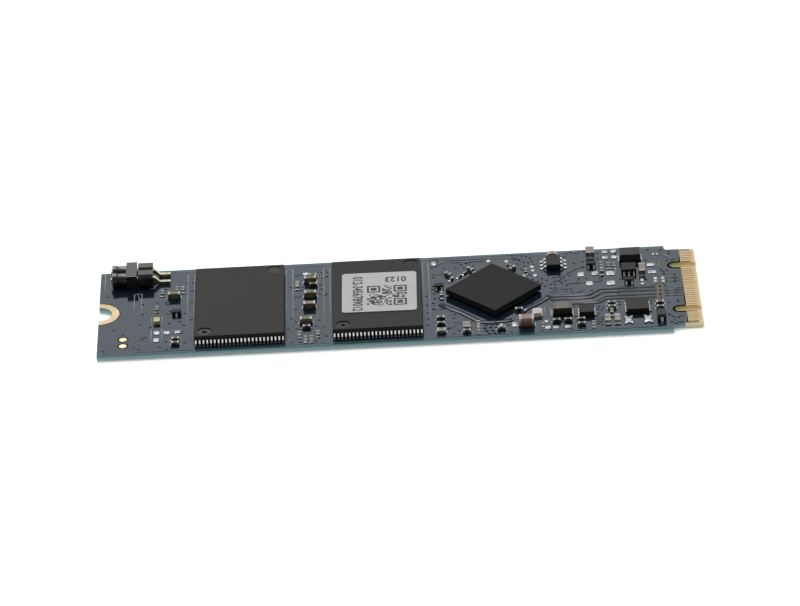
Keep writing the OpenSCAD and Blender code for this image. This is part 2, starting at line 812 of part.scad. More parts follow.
module qfn_package() {
    color([0.24, 0.24, 0.24]) flat_body(qfn_at, qfn_side);
}

module dfn_package() {
    color([0.24, 0.24, 0.24]) flat_body(dfn_at, dfn_side);
}

// Soldered terminals on two sides of a leadless body
module terminal_rows(place, side, count) {
    for (turn = [0, 180], i = [0:count - 1]) translate([place[0], place[1], board_t])
        rotate(turn) translate([side / 2, (i - (count - 1) / 2) * flat_pitch - 0.14, 0])
            cube([0.14, 0.28, 0.2]);
}

module flat_terminals() {
    color("silver") {
        terminal_rows(qfn_at, qfn_side, 5);
        terminal_rows(dfn_at, dfn_side, 4);
    }
}

circuit_board();
contact_pads();
screw_land();
test_pads();
through_vias();
flash_chip_a();
flash_leads_a();
flash_chip_b();
flash_leads_b();
product_label();
controller_cap();
controller_base();
controller_balls();
header_block();
header_pins();
shunt_shell();
shunt_clip();
led_base();
led_lens();
small_capacitors();
medium_capacitors();
large_capacitor();
chip_resistors();
tiny_chips();
light_chips();
brown_inductor();
power_inductor();
chip_ends();
crystal_base();
crystal_lid();
regulator_body();
regulator_leads();
switch_body();
switch_leads();
transistor_bodies();
transistor_leads();
diode_body();
diode_leads();
qfn_package();
dfn_package();
flat_terminals();
solder_fillets();
solder_mounds();
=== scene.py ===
import math
import random

import bmesh
import bpy
from mathutils import Matrix, Vector


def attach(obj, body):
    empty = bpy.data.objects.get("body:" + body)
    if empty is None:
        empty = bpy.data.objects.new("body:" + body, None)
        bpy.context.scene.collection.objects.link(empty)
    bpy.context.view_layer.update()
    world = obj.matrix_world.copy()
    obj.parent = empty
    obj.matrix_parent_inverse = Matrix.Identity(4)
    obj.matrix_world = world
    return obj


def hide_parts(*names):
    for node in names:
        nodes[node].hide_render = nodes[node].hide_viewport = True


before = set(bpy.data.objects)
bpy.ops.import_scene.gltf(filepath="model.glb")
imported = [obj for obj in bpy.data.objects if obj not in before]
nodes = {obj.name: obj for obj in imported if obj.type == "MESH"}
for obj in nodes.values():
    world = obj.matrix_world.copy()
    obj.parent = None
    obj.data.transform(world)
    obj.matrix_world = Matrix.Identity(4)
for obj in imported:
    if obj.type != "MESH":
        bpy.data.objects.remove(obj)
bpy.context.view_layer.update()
scene = bpy.context.scene
mm = 0.001
weldGap = 0.0005 * mm  # points that lie closer than this are one

# Places on the card in millimetres, in the frame's own axes
card = {"top": 0.8, "maskEnd": 37.95, "rimRadius": 1.9, "notchX": -40}


# Small helpers for colours, nodes and pieces
def tone(red, green, blue):
    def linear(value):
        value /= 255
        return value / 12.92 if value <= 0.04045 else ((value + 0.055) / 1.055) ** 2.4
    return (linear(red), linear(green), linear(blue), 1.0)


class Graph:
    # A thin wrapper that makes and joins shader nodes
    def __init__(self, tree):
        self.tree = tree

    def node(self, kind, label="", **settings):
        made = self.tree.nodes.new(kind)
        made.label = label
        for key, value in settings.items():
            if key.startswith("in_"):
                made.inputs[key[3:].replace("_", " ")].default_value = value
            else:
                setattr(made, key, value)
        return made

    def join(self, source, target):
        self.tree.links.new(source, target)

    def feed(self, socket, value):
        # Sets a socket to a constant, or joins it to another node's output
        if isinstance(value, (int, float, tuple)):
            socket.default_value = value
        elif value is not None:
            self.join(value, socket)

    def math(self, operation, first, second=None, third=None, clamp=False):
        made = self.tree.nodes.new("ShaderNodeMath")
        made.operation = operation
        made.use_clamp = clamp
        for socket, value in zip(made.inputs, (first, second, third)):
            self.feed(socket, value)
        return made.outputs[0]

    def times(self, first, second):
        return self.math("MULTIPLY", first, second)

    def span(self, value, ends):
        # Spreads a value from 0 to 1 over a range
        return self.math("MULTIPLY_ADD", value, ends[1] - ends[0], ends[0])

    def over(self, value, limit):
        return self.math("GREATER_THAN", value, limit)

    def below(self, value, limit):
        return self.math("LESS_THAN", value, limit)

    def mix(self, factor, first, second):
        made = self.tree.nodes.new("ShaderNodeMix")
        made.data_type = "RGBA"
        for index, value in ((0, factor), (6, first), (7, second)):
            self.feed(made.inputs[index], value)
        return made.outputs[2]

    def split(self, vector):
        made = self.tree.nodes.new("ShaderNodeSeparateXYZ")
        self.join(vector, made.inputs[0])
        return made.outputs


def newGroup(name, inputs, outputs):
    tree = bpy.data.node_groups.new(name, "ShaderNodeTree")
    for way, sockets in (("INPUT", inputs), ("OUTPUT", outputs)):
        for label, kind in sockets.items():
            tree.interface.new_socket(label, in_out=way, socket_type="NodeSocket" + kind)
    graph = Graph(tree)
    return tree, graph, graph.node("NodeGroupInput"), graph.node("NodeGroupOutput")


def grainGroup():
    # Two sizes of noise: a tint for the colour, and a height for the bump
    tree, g, start, end = newGroup(
        "grainAndTint", {"Vector": "Vector", "Fine": "Float", "Broad": "Float",
                         "Dark": "Color", "Light": "Color", "Spread": "Float"},
        {"Colour": "Color", "Height": "Float", "Wear": "Float"})
    fine = g.node("ShaderNodeTexNoise", "fine", in_Detail=3.0, in_Roughness=0.6)
    broad = g.node("ShaderNodeTexNoise", "broad", in_Detail=2.0)
    for made, scale in ((fine, "Fine"), (broad, "Broad")):
        g.join(start.outputs["Vector"], made.inputs["Vector"])
        g.join(start.outputs[scale], made.inputs["Scale"])
    fineShare, contrast = 0.55, 3.0
    both = g.math("ADD", g.times(fine.outputs[0], fineShare),
                  g.times(broad.outputs[0], 1 - fineShare))
    spread = g.math("MULTIPLY_ADD", g.math("SUBTRACT", both, 0.5), start.outputs["Spread"], 0.5,
                    clamp=True)
    steep = g.math("MULTIPLY_ADD", g.math("SUBTRACT", spread, 0.5), contrast, 0.5, clamp=True)
    g.join(g.mix(steep, start.outputs["Dark"], start.outputs["Light"]), end.inputs["Colour"])
    g.join(fine.outputs[0], end.inputs["Height"])
    g.join(broad.outputs[0], end.inputs["Wear"])
    return tree


def facingGroup():
    # Which way a face looks: up, down, or out of the card's side
    tree, g, start, end = newGroup("facing", {"Normal": "Vector"},
                                   {"Up": "Float", "Down": "Float", "Side": "Float"})
    level, upright = 0.6, 0.5  # limits for the height of the normal
    lean = g.split(start.outputs["Normal"])[2]
    g.join(g.over(lean, level), end.inputs["Up"])
    g.join(g.below(lean, -level), end.inputs["Down"])
    g.join(g.below(g.math("ABSOLUTE", lean), upright), end.inputs["Side"])
    return tree


def discMaskGroup():
    # A mask that is 1 inside an upright cylinder at a place on the card
    tree, g, start, end = newGroup(
        "discMask", {"Vector": "Vector", "X": "Float", "Y": "Float", "Radius": "Float"},
        {"Mask": "Float"})
    x, y, _ = g.split(start.outputs["Vector"])
    x = g.math("SUBTRACT", x, start.outputs["X"])
    y = g.math("SUBTRACT", y, start.outputs["Y"])
    away = g.math("SQRT", g.math("ADD", g.math("POWER", x, 2.0), g.math("POWER", y, 2.0)))
    g.join(g.below(away, start.outputs["Radius"]), end.inputs["Mask"])
    return tree


groups = {"grain": grainGroup(), "facing": facingGroup(), "disc": discMaskGroup()}


def place(g, kind, **values):
    # Puts a shared node group into a material with its own values
    made = g.node("ShaderNodeGroup")
    made.node_tree = groups[kind]
    for label, value in values.items():
        g.feed(made.inputs[label], value)
    return made.outputs


def grainOf(g, coords, fine, broad, dark, light, spread=1.0):
    # Both sizes of noise are given as repeats in a millimetre
    return place(g, "grain", Vector=coords, Fine=fine / mm, Broad=broad / mm,
                 Dark=tone(*dark), Light=tone(*light), Spread=spread)


def discOf(g, coords, x, y, radius):
    return place(g, "disc", Vector=coords, X=x * mm, Y=y * mm, Radius=radius * mm)[0]


def facingOf(g):
    normal = g.node("ShaderNodeNewGeometry").outputs["True Normal"]
    return place(g, "facing", Normal=normal)


def newMaterial(name, **shader):
    material = bpy.data.materials.new(name)
    material.use_nodes = True
    material.node_tree.nodes.clear()
    g = Graph(material.node_tree)
    bsdf = g.node("ShaderNodeBsdfPrincipled")
    for label, value in shader.items():
        bsdf.inputs[label].default_value = value
    g.join(bsdf.outputs[0], g.node("ShaderNodeOutputMaterial").inputs[0])
    coords = g.node("ShaderNodeTexCoord").outputs["Object"]
    return material, g, bsdf, coords


def bumpInto(g, bsdf, height, strength, distance):
    made = g.node("ShaderNodeBump")
    made.inputs["Strength"].default_value = strength
    made.inputs["Distance"].default_value = distance
    g.join(height, made.inputs["Height"])
    g.join(made.outputs[0], bsdf.inputs["Normal"])


def coat(g, bsdf, grain, colour, rough, bump):
    # Joins a colour, a sheen that drifts between two values, and a fine bump
    g.join(colour, bsdf.inputs["Base Color"])
    g.join(g.span(grain["Wear"], rough), bsdf.inputs["Roughness"])
    if bump:
        bumpInto(g, bsdf, grain["Height"], 1.0, bump * mm)


def grainMaterial(name, dark, light, fine, broad, bump, rough, spread=1.0, **shader):
    # A finish whose colour drifts between two tones
    material, g, bsdf, coords = newMaterial(name, **shader)
    grain = grainOf(g, coords, fine, broad, dark, light, spread)
    coat(g, bsdf, grain, grain["Colour"], rough, bump)
    return material


print("materials")
# x, y and radius round each coil, and the tone of its end plates
plateLook = {"coils": [((31.3, 8.25, 2.5), tone(70, 72, 72)),
                       ((21.6, -5.6, 2.0), tone(92, 84, 66))]}
mouldLook = {
    "dark": (28, 28, 28), "light": (38, 38, 37), "rim": tone(10, 10, 10),
    # range of the roughness, what the painted shadow on a mark's rim adds to it, and the bump in
    # millimetres
    "rough": (0.5, 0.62), "shadowRimRough": 0.5, "bump": 0.006,
    # place, colour of the floor, radius, and how far its rim of painted shadow reaches inwards
    "marks": [((-25.75, -7.8), tone(70, 68, 68), 0.95, 0.24),
              ((-25.75, -7.95), tone(10, 10, 10), 0.36, 0.5),
              ((-16.55, 7.8), tone(56, 56, 55), 0.95, 0.12),
              ((-7.45, -7.8), tone(56, 55, 55), 0.95, 0.26),
              ((-7.45, -7.95), tone(16, 16, 16), 0.3, 0.5),
              ((1.75, 7.8), tone(40, 40, 39), 0.95, 0.26)],
}
# heights over which the painted shade low on the leads fades out, its dark tone, how far the
# slopes bow, the range of the roughness, and the bump in millimetres
leadLook = {"shadeFadeHeights": (0.98, 1.1), "low": tone(38, 38, 38), "bow": 0.14,
            "rough": (0.08, 0.16), "bump": 0.001}
# how far the wipe marks are drawn out, the range of the roughness, and the bump's
# strength and height
contactLook = {"wipe": 0.12, "rough": (0.22, 0.42), "bumpStrength": 0.5, "bump": 0.003}
barrelLook = {"rim": 0.025, "bore": tone(12, 10, 6)}
maskLook = {
    "deep": (10, 18, 25), "pour": (17, 29, 38), "band": tone(36, 74, 76),
    "dark": tone(4, 6, 8), "edge": tone(56, 110, 113), "paintedFootLight": tone(230, 255, 250),
    "lip": tone(20, 46, 52), "lipFrom": 0.74, "fadeFrom": 0.11, "fade": 0.5,
    "threads": tone(70, 108, 112), "run": tone(44, 70, 80),
    "bare": tone(96, 78, 52), "bareLight": tone(126, 104, 72), "rim": tone(206, 184, 138),
    "tongueSide": tone(250, 238, 178), "keySide": tone(206, 164, 64),
    "keyTip": tone(124, 116, 54), "keyFootLight": tone(255, 252, 196), "weave": 1.9,
    "shine": {"IOR": 1.81, "Specular Tint": (0.715, 0.87, 1.0, 1.0)},
    "pads": ((-36.6, -7), (-36.6, -8.7)), "padMoat": 0.72,
    # where the margin, the key notches, the tongue and the outer rim start
    "marginFrom": 10.4, "keyFrom": 36.3, "keyWithin": 9.5, "keyFade": (36.6, 38.6),
    "tongueFrom": 37.6, "rimFrom": 39.4,
    # limits and repeats a millimetre of the runs below, and how far each tint shows
    "runOver": 0.72, "patchOver": 0.52, "runShow": 0.4, "marginShow": 0.75,
    "threadShow": 0.18, "runs": 0.42, "runBend": 3.0, "patches": 0.11,
    # the relief of the mask: what the noise and the cloth add, its strength and height
    "ripple": 0.8, "clothRise": 0.06, "bumpStrength": 0.35, "bump": 0.02,
    # ranges of the roughness, and how the painted light pales the key notch walls downwards
    "gloss": (0.07, 0.13), "edgeGloss": (0.09, 0.59), "keyFall": 0.6,
}


def maskMaterial(name, deep, pour, edged=False, **shader):
    # Gloss solder mask; the board itself also has bare laminate, bands and cut sides
    material, g, bsdf, coords = newMaterial(name, **(shader or maskLook["shine"]))
    x, y, z = g.split(coords)
    grain = grainOf(g, coords, 2.2, 0.16, deep, pour, 0.9)
    weave = []
    for axis in ("X", "Y"):
        wave = g.node("ShaderNodeTexWave", "glass cloth", bands_direction=axis,
                      in_Scale=maskLook["weave"] / mm, in_Distortion=0.6, in_Detail=1.0)
        g.join(coords, wave.inputs["Vector"])
        weave.append(wave.outputs["Fac"])
    cloth = g.times(weave[0], weave[1])
    height = g.math("ADD", g.times(grain["Wear"], maskLook["ripple"]),
                    g.times(cloth, maskLook["clothRise"]))
    bumpInto(g, bsdf, height, maskLook["bumpStrength"], maskLook["bump"] * mm)
    if not edged:
        coat(g, bsdf, grain, grain["Colour"], maskLook["gloss"], 0)
        return material
    wide = g.math("ABSOLUTE", y)
    facing = facingOf(g)
    side = g.times(facing["Side"], g.below(z, card["top"] * mm + weldGap))
    # copper runs seen through the mask of the underside
    runs = g.node("ShaderNodeTexWave", "runs below", bands_direction="Y",
                  in_Scale=maskLook["runs"] / mm, in_Distortion=maskLook["runBend"],
                  in_Detail=0.0, in_Detail_Scale=0.3)
    g.join(coords, runs.inputs["Vector"])
    patches = g.node("ShaderNodeTexNoise", "where they run",
                     in_Scale=maskLook["patches"] / mm, in_Detail=1.0)
    g.join(coords, patches.inputs["Vector"])
    runMask = g.times(facing["Down"], g.over(runs.outputs["Fac"], maskLook["runOver"]))
    runMask = g.times(runMask, g.over(patches.outputs["Fac"], maskLook["patchOver"]))
    mask = g.mix(g.times(runMask, maskLook["runShow"]), grain["Colour"], maskLook["run"])
    margin = g.over(wide, maskLook["marginFrom"] * mm)
    mask = g.mix(g.times(margin, maskLook["marginShow"]), mask, maskLook["band"])
    for padX, padY in maskLook["pads"]:
        moat = discOf(g, coords, padX, padY, maskLook["padMoat"])
        mask = g.mix(g.times(moat, facing["Up"]), mask, maskLook["dark"])
    notch = discOf(g, coords, card["notchX"], 0, card["rimRadius"])
    bare = g.math("MAXIMUM", g.over(x, card["maskEnd"] * mm), notch)
    between = g.mix(cloth, maskLook["bare"], maskLook["bareLight"])
    outer = g.math("MAXIMUM", g.over(x, maskLook["rimFrom"] * mm), g.below(x, 0.0))
    colour = g.mix(bare, mask, g.mix(outer, between, maskLook["rim"]))
    low = g.math("DIVIDE", z, card["top"] * mm, clamp=True)
    low = g.math("POWER", low, maskLook["keyFall"])
    # the cut side is dark under its upper edge, and pale at the foot with painted light from the
    # floor
    footLightFade = g.math("MULTIPLY_ADD", z, (1 + maskLook["fadeFrom"]) / (card["top"] * mm),
                   -maskLook["fadeFrom"], clamp=True)
    footLightFade = g.math("POWER", footLightFade, maskLook["fade"])
    sideTintAndLight = g.mix(footLightFade, maskLook["paintedFootLight"], maskLook["edge"])
    lip = g.over(z, maskLook["lipFrom"] * mm)
    sideTintAndLight = g.mix(lip, sideTintAndLight, maskLook["lip"])
    threads = g.times(weave[0], maskLook["threadShow"])
    sideTintAndLight = g.mix(threads, sideTintAndLight, maskLook["threads"])
    # painted light: the tongue's side is given a near-white tone
    tongue = g.over(x, maskLook["tongueFrom"] * mm)
    sideTintAndLight = g.mix(tongue, sideTintAndLight, maskLook["tongueSide"])
    keySide = g.times(g.over(x, maskLook["keyFrom"] * mm),
                      g.below(wide, maskLook["keyWithin"] * mm))
    fadeFrom, fadeTo = maskLook["keyFade"]
    outward = g.math("MULTIPLY_ADD", x, 1 / ((fadeTo - fadeFrom) * mm),
                     -fadeFrom / (fadeTo - fadeFrom), clamp=True)
    keyTint = g.mix(outward, maskLook["keyTip"], maskLook["keySide"])
    # painted light: the key notch walls pale towards their foot
    keyTint = g.mix(low, maskLook["keyFootLight"], keyTint)
    sideTintAndLight = g.mix(keySide, sideTintAndLight, keyTint)
    g.join(g.mix(side, colour, sideTintAndLight), bsdf.inputs["Base Color"])
    dull = g.math("MAXIMUM", bare, side)
    g.join(g.span(dull, maskLook["edgeGloss"]), bsdf.inputs["Roughness"])
    return material


def metalMaterial(name, dark, light, rough, bump=0.004, fine=3.0, broad=0.6):
    return grainMaterial(name, dark, light, fine, broad, bump, rough, Metallic=1.0)


def plateMaterial():
    # End plates of the chip parts, dull and dark on the two coils
    material, g, bsdf, coords = newMaterial("endPlate", Metallic=1.0)
    grain = grainOf(g, coords, 3, 0.6, (124, 124, 120), (172, 172, 166))
    colour = grain["Colour"]
    for (x, y, radius), dark in plateLook["coils"]:
        colour = g.mix(discOf(g, coords, x, y, radius), colour, dark)
    coat(g, bsdf, grain, colour, (0.3, 0.46), 0.004)
    return material


def barrelMaterial():
    # Dull plated lands, and bores coloured dark inside
    material, g, bsdf, coords = newMaterial("viaPlate", Metallic=1.0)
    grain = grainOf(g, coords, 4, 1.4, (70, 62, 42), (128, 112, 78), 1.3)
    z, rim = g.split(coords)[2], barrelLook["rim"]
    inside = g.times(g.below(z, (card["top"] - rim) * mm), g.over(z, rim * mm))
    colour = g.mix(inside, grain["Colour"], barrelLook["bore"])
    coat(g, bsdf, grain, colour, (0.26, 0.46), 0.006)
    return material


def mouldMaterial():
    # Fine matt mould with the smooth floors of its moulding marks, and a dark crescent of
    # painted shadow on the rim of each
    material, g, bsdf, coords = newMaterial("mouldBlack", **{"Specular IOR Level": 0.16})
    grain = grainOf(g, coords, 14, 0.22, mouldLook["dark"], mouldLook["light"])
    colour = grain["Colour"]
    rough = g.span(grain["Wear"], mouldLook["rough"])
    for (x, y), floor, radius, lag in mouldLook["marks"]:
        whole = discOf(g, coords, x, y, radius)
        inside = g.times(whole, discOf(g, coords, x, y - lag, radius))
        # painted shadow: the crescent between the mark and its shifted copy is made dark
        rim = g.math("SUBTRACT", whole, inside)
        colour = g.mix(inside, colour, floor)
        colour = g.mix(rim, colour, mouldLook["rim"])
        rough = g.math("MULTIPLY_ADD", rim, mouldLook["shadowRimRough"], rough)
    g.join(colour, bsdf.inputs["Base Color"])
    g.join(rough, bsdf.inputs["Roughness"])
    bumpInto(g, bsdf, grain["Height"], 1.0, mouldLook["bump"] * mm)
    return material


def leadMaterial():
    # Bright tin on the shoulders of the leads and on faces that look up, with painted shade
    # darkening the rest low down near the board
    material, g, bsdf, coords = newMaterial("leadTin", Metallic=1.0)
    z = g.split(coords)[2]
    rise = g.node("ShaderNodeMapRange", interpolation_type="SMOOTHSTEP")
    for label, value in zip(("From Min", "From Max"), leadLook["shadeFadeHeights"]):
        rise.inputs[label].default_value = value * mm
    g.join(z, rise.inputs["Value"])
    grain = grainOf(g, coords, 5, 1.2, (168, 168, 166), (200, 200, 197))
    # painted shade: low on the leads, faces that do not look up take the dark tone
    unshaded = g.math("MAXIMUM", rise.outputs[0], facingOf(g)["Up"])
    coat(g, bsdf, grain, g.mix(unshaded, leadLook["low"], grain["Colour"]), leadLook["rough"], 0)
    # the slopes bow outwards, so that they mirror the floor in front of the card
    bow = g.times(z, leadLook["bow"] / mm)
    height = g.math("MULTIPLY_ADD", grain["Height"], leadLook["bump"], bow)
    bumpInto(g, bsdf, height, 1.0, mm)
    return material


def contactMaterial():
    # Gold plate with fine wipe marks along the insertion direction
    material, g, bsdf, coords = newMaterial("contactGold", Metallic=1.0)
    stretch = g.node("ShaderNodeMapping")
    stretch.inputs["Scale"].default_value = (contactLook["wipe"], 1.0, 1.0)
    g.join(coords, stretch.inputs["Vector"])
    grain = grainOf(g, stretch.outputs[0], 14, 1.4, (178, 152, 112), (204, 180, 140))
    g.join(grain["Colour"], bsdf.inputs["Base Color"])
    g.join(g.span(grain["Height"], contactLook["rough"]), bsdf.inputs["Roughness"])
    bumpInto(g, bsdf, grain["Height"], contactLook["bumpStrength"], contactLook["bump"] * mm)
    return material


def glazed(name, dark, light, paintedSideTone=None, patches=()):
    # Fired ceramic with a glaze; its faces that do not look up may get another tone as painted
    # light and shade, and a chip at a place in patches (x, y, radius in millimetres) may be of
    # another tone
    material, g, bsdf, coords = newMaterial(name, **{"Specular IOR Level": 0.75})
    grain = grainOf(g, coords, 5, 1.1, dark, light)
    colour = grain["Colour"]
    topShare, patchShare = 0.3, 0.75
    # painted light and shade: the sides take another tone than the top, darker on most parts and
    # paler on the olive ones
    if paintedSideTone:
        colour = g.mix(facingOf(g)["Up"], g.mix(topShare, tone(*paintedSideTone), colour), colour)
    for (x, y, radius), other in patches:
        tinted = g.mix(patchShare, colour, tone(*other))
        colour = g.mix(discOf(g, coords, x, y, radius), colour, tinted)
    coat(g, bsdf, grain, colour, (0.26, 0.4), 0.004)
    return material


look = {
    "board": maskMaterial("boardMask", maskLook["deep"], maskLook["pour"], edged=True),
    "trace": maskMaterial("maskOverCopper", (36, 42, 52), (46, 54, 65),
                          **{"Specular IOR Level": 0.55}),
    "gap": maskMaterial("maskGapAndShade", (12, 17, 22), (18, 25, 31),
                        **{"Specular IOR Level": 0.3}),
    "gold": metalMaterial("goldPlate", (184, 162, 126), (202, 180, 144), (0.24, 0.36)),
    "barrel": barrelMaterial(),
    "plate": plateMaterial(), "lead": leadMaterial(),
    "brightSolder": metalMaterial("padSolder", (98, 104, 108), (206, 208, 206),
                                  (0.3, 0.46), bump=0.035, fine=2.4, broad=1.5),
    "contact": contactMaterial(),
    "pad": metalMaterial("paleGold", (196, 192, 152), (218, 212, 176), (0.25, 0.4)),
    "tin": metalMaterial("tinPlate", (206, 206, 202), (240, 240, 236), (0.2, 0.34)),
    "solder": metalMaterial("solderShine", (150, 154, 154), (212, 214, 214), (0.16, 0.34),
                            bump=0.02, fine=2.6, broad=1.2),
    "mould": mouldMaterial(),
    "paper": grainMaterial("labelPaper", (152, 155, 154), (168, 171, 170), 6.0, 0.25,
                           0.004, (0.42, 0.6), spread=0.8),
    # painted shade: the balls under the controller get a dark solder tone
    "ball": metalMaterial("ballSolder", (34, 36, 36), (66, 68, 68), (0.3, 0.5)),
    "brown": glazed("brownCeramic", (34, 28, 24), (66, 56, 46), None,
                    [((8.2, 6.4, 3.6), (96, 96, 92))]),
    "grey": glazed("greyCeramic", (62, 62, 58), (96, 96, 90)),
    "olive": glazed("oliveCeramic", (56, 52, 20), (88, 82, 38), (150, 140, 96),
                    [((26, 9.5, 1.3), (132, 112, 104)), ((-11.9, -0.95, 1.0), (128, 98, 88))]),
    "pink": glazed("pinkCeramic", (104, 74, 64), (134, 100, 90), (92, 70, 46)),
    "tan": glazed("tanCeramic", (92, 82, 68), (126, 114, 98)),
    "coil": glazed("coilBrown", (58, 50, 34), (82, 72, 54), (34, 26, 12)),
    "resistor": glazed("resistorGlaze", (20, 20, 22), (36, 36, 38)),
    "pin": metalMaterial("pinGold", (150, 138, 106), (236, 230, 204), (0.14, 0.26),
                         bump=0.012, fine=1.6, broad=1.1),
    "spring": metalMaterial("springBrass", (182, 142, 96), (212, 176, 126), (0.25, 0.4)),
}
# Name, dark and light tone, fine and broad repeats in a millimetre, bump in millimetres,
# range of the roughness, and specular level
plainLooks = {
    "cap": ("mouldFlat", (22, 22, 21), (29, 29, 28), 10, 0.15, 0.004, (0.5, 0.6), 0.09),
    "small": ("mouldSmall", (32, 32, 33), (44, 44, 44), 12, 0.5, 0.006, (0.42, 0.55), 0.14),
    "plastic": ("blackPlastic", (20, 20, 21), (30, 30, 31), 5, 0.7, 0.004, (0.2, 0.32), 0.85),
    "laminate": ("packageLaminate", (8, 12, 11), (16, 22, 20), 6, 0.8, 0.003, (0.35, 0.5), 0.2),
    "viaHole": ("viaHole", (3, 4, 6), (8, 10, 12), 6, 0.8, 0, (0.7, 0.9), 0.05),
    "ink": ("labelInk", (40, 40, 42), (60, 60, 62), 8, 0.8, 0, (0.6, 0.7), 0.3),
    "silk": ("silkInk", (112, 122, 126), (142, 152, 155), 6, 0.6, 0.004, (0.6, 0.75), 0.3),
    "ferrite": ("ferriteGrey", (38, 38, 39), (56, 56, 57), 9, 0.8, 0.008, (0.45, 0.6), 0.2),
    "cream": ("creamCeramic", (206, 188, 166), (228, 212, 192), 5, 0.9, 0.003, (0.35, 0.5), 0.5),
    "lens": ("lampLens", (160, 154, 112), (196, 190, 150), 3, 1.6, 0.006, (0.15, 0.25), 0.5),
    "lampBoard": ("lampBoard", (64, 62, 40), (104, 98, 66), 6, 1.4, 0.003, (0.4, 0.55), 0.5),
}
for kind, (*values, shine) in plainLooks.items():
    look[kind] = grainMaterial(*values, **{"Specular IOR Level": shine})
dress = {
    "board": ["circuit_board"], "gold": ["screw_land"], "barrel": ["through_vias"],
    "contact": ["contact_pads"], "pad": ["test_pads"], "pin": ["header_pins"],
    "lead": ["flash_leads_a", "flash_leads_b"],
    "tin": ["regulator_leads", "switch_leads", "transistor_leads", "diode_leads",
            "flat_terminals"],
    "plate": ["chip_ends", "crystal_lid"],
    "solder": ["solder_fillets", "solder_mounds"], "ball": ["controller_balls"],
    "mould": ["flash_chip_a", "flash_chip_b"], "cap": ["controller_cap"],
    "small": ["regulator_body", "switch_body", "transistor_bodies", "qfn_package",
              "dfn_package"],
    "plastic": ["header_block", "shunt_shell"], "laminate": ["controller_base"],
    "paper": ["product_label"], "brown": ["small_capacitors"], "olive": ["medium_capacitors"],
    "pink": ["large_capacitor"], "tan": ["light_chips"], "grey": ["tiny_chips"],
    "coil": ["brown_inductor"], "resistor": ["chip_resistors"],
    "ferrite": ["power_inductor", "diode_body"],
    "cream": ["crystal_base"], "lens": ["led_lens"], "lampBoard": ["led_base"],
    "spring": ["shunt_clip"],
}
for kind, names in dress.items():
    for name in names:
        slots = nodes[name].data.materials
        slots.clear()
        slots.append(look[kind])

print("edges of the moulded and plated parts")
# Width in millimetres and number of steps of a rounded edge, and the nodes that get it
edges = {
    (0.015, 1): ["controller_base"],
    (0.02, 1): ["chip_resistors", "tiny_chips", "qfn_package", "dfn_package", "flash_leads_a",
        "flash_leads_b", "regulator_leads", "switch_leads", "transistor_leads", "diode_leads",
        "product_label"],
    (0.03, 1): ["small_capacitors", "light_chips", "transistor_bodies", "led_base"],
    (0.03, 2): ["controller_cap"],
    (0.04, 1): ["medium_capacitors"],
    (0.04, 2): ["crystal_base", "crystal_lid", "regulator_body", "switch_body", "diode_body",
        "header_pins"],
    (0.045, 2): ["chip_ends"],
    (0.05, 2): ["flash_chip_a", "flash_chip_b", "large_capacitor"],
    (0.06, 2): ["header_block", "brown_inductor"],
    (0.07, 2): ["shunt_shell", "power_inductor"],
    (0.08, 3): ["led_lens"],
}
sharpFrom = 35  # degrees between the faces at an edge that gets rounded
for (width, steps), names in edges.items():
    for name in names:
        weld = nodes[name].modifiers.new("weld", "WELD")
        weld.merge_threshold = weldGap
        rounded = nodes[name].modifiers.new("edge", "BEVEL")
        rounded.width = width * mm
        rounded.segments = steps
        rounded.limit_method = "ANGLE"
        rounded.angle_limit = math.radians(sharpFrom)


def finish(name, mesh, finishes, stands=()):
    # Puts a finished mesh on the card, in place, with its finishes
    for finishName in finishes:
        mesh.materials.append(look[finishName])
    piece = bpy.data.objects.new(name, mesh)
    scene.collection.objects.link(piece)
    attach(piece, "root")
    if stands:
        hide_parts(*stands)


def meshFrom(name, bm):
    bmesh.ops.recalc_face_normals(bm, faces=bm.faces)
    mesh = bpy.data.meshes.new(name)
    bm.to_mesh(mesh)
    bm.free()
    return mesh


def stamp(bm, template, spot, size):
    # Adds a copy of a template mesh; spot and size are in millimetres
    before = len(bm.verts)
    bm.from_mesh(template)
    bm.verts.ensure_lookup_table()
    move = (Matrix.Translation(Vector(spot) * mm)
            @ Matrix.Diagonal([value * mm for value in size] + [1]))
    bmesh.ops.transform(bm, matrix=move, verts=bm.verts[before:])


def meshOf(data):
    # The mesh that a curve or a text gives
    holder = bpy.data.objects.new(data.name, data)
    scene.collection.objects.link(holder)
    bpy.context.view_layer.update()
    mesh = bpy.data.meshes.new_from_object(
        holder.evaluated_get(bpy.context.evaluated_depsgraph_get()))
    mesh.materials.clear()
    bpy.data.objects.remove(holder)
    return mesh


def ridges(name, lines, profile):
    # Sweeps a low profile, given in millimetres, along open lines on the card
    made = bpy.data.curves.new(name + "Profile", "CURVE")
    made.dimensions = "2D"
    outline = made.splines.new("POLY")
    outline.points.add(len(profile) - 1)
    for point, (side, height) in zip(outline.points, profile):
        point.co = (side * mm, height * mm, 0, 1)
    outline.use_cyclic_u = True
    section = bpy.data.objects.new(name + "Profile", made)
    path = bpy.data.curves.new(name + "Path", "CURVE")
    path.dimensions = "3D"
    path.twist_mode = "Z_UP"
    path.bevel_mode = "OBJECT"
    path.bevel_object = section
    path.use_fill_caps = True
    for line in lines:
        spline = path.splines.new("POLY")
        spline.points.add(len(line) - 1)
        for point, (x, y) in zip(spline.points, line):
            point.co = (x * mm, y * mm, card["top"] * mm, 1)
    scene.collection.objects.link(section)
    swept = meshOf(path)
    bpy.data.objects.remove(section)
    bm = bmesh.new()
    bm.from_mesh(swept)
    bpy.data.meshes.remove(swept)
    bmesh.ops.remove_doubles(bm, verts=bm.verts, dist=weldGap)
    return meshFrom(name, bm)


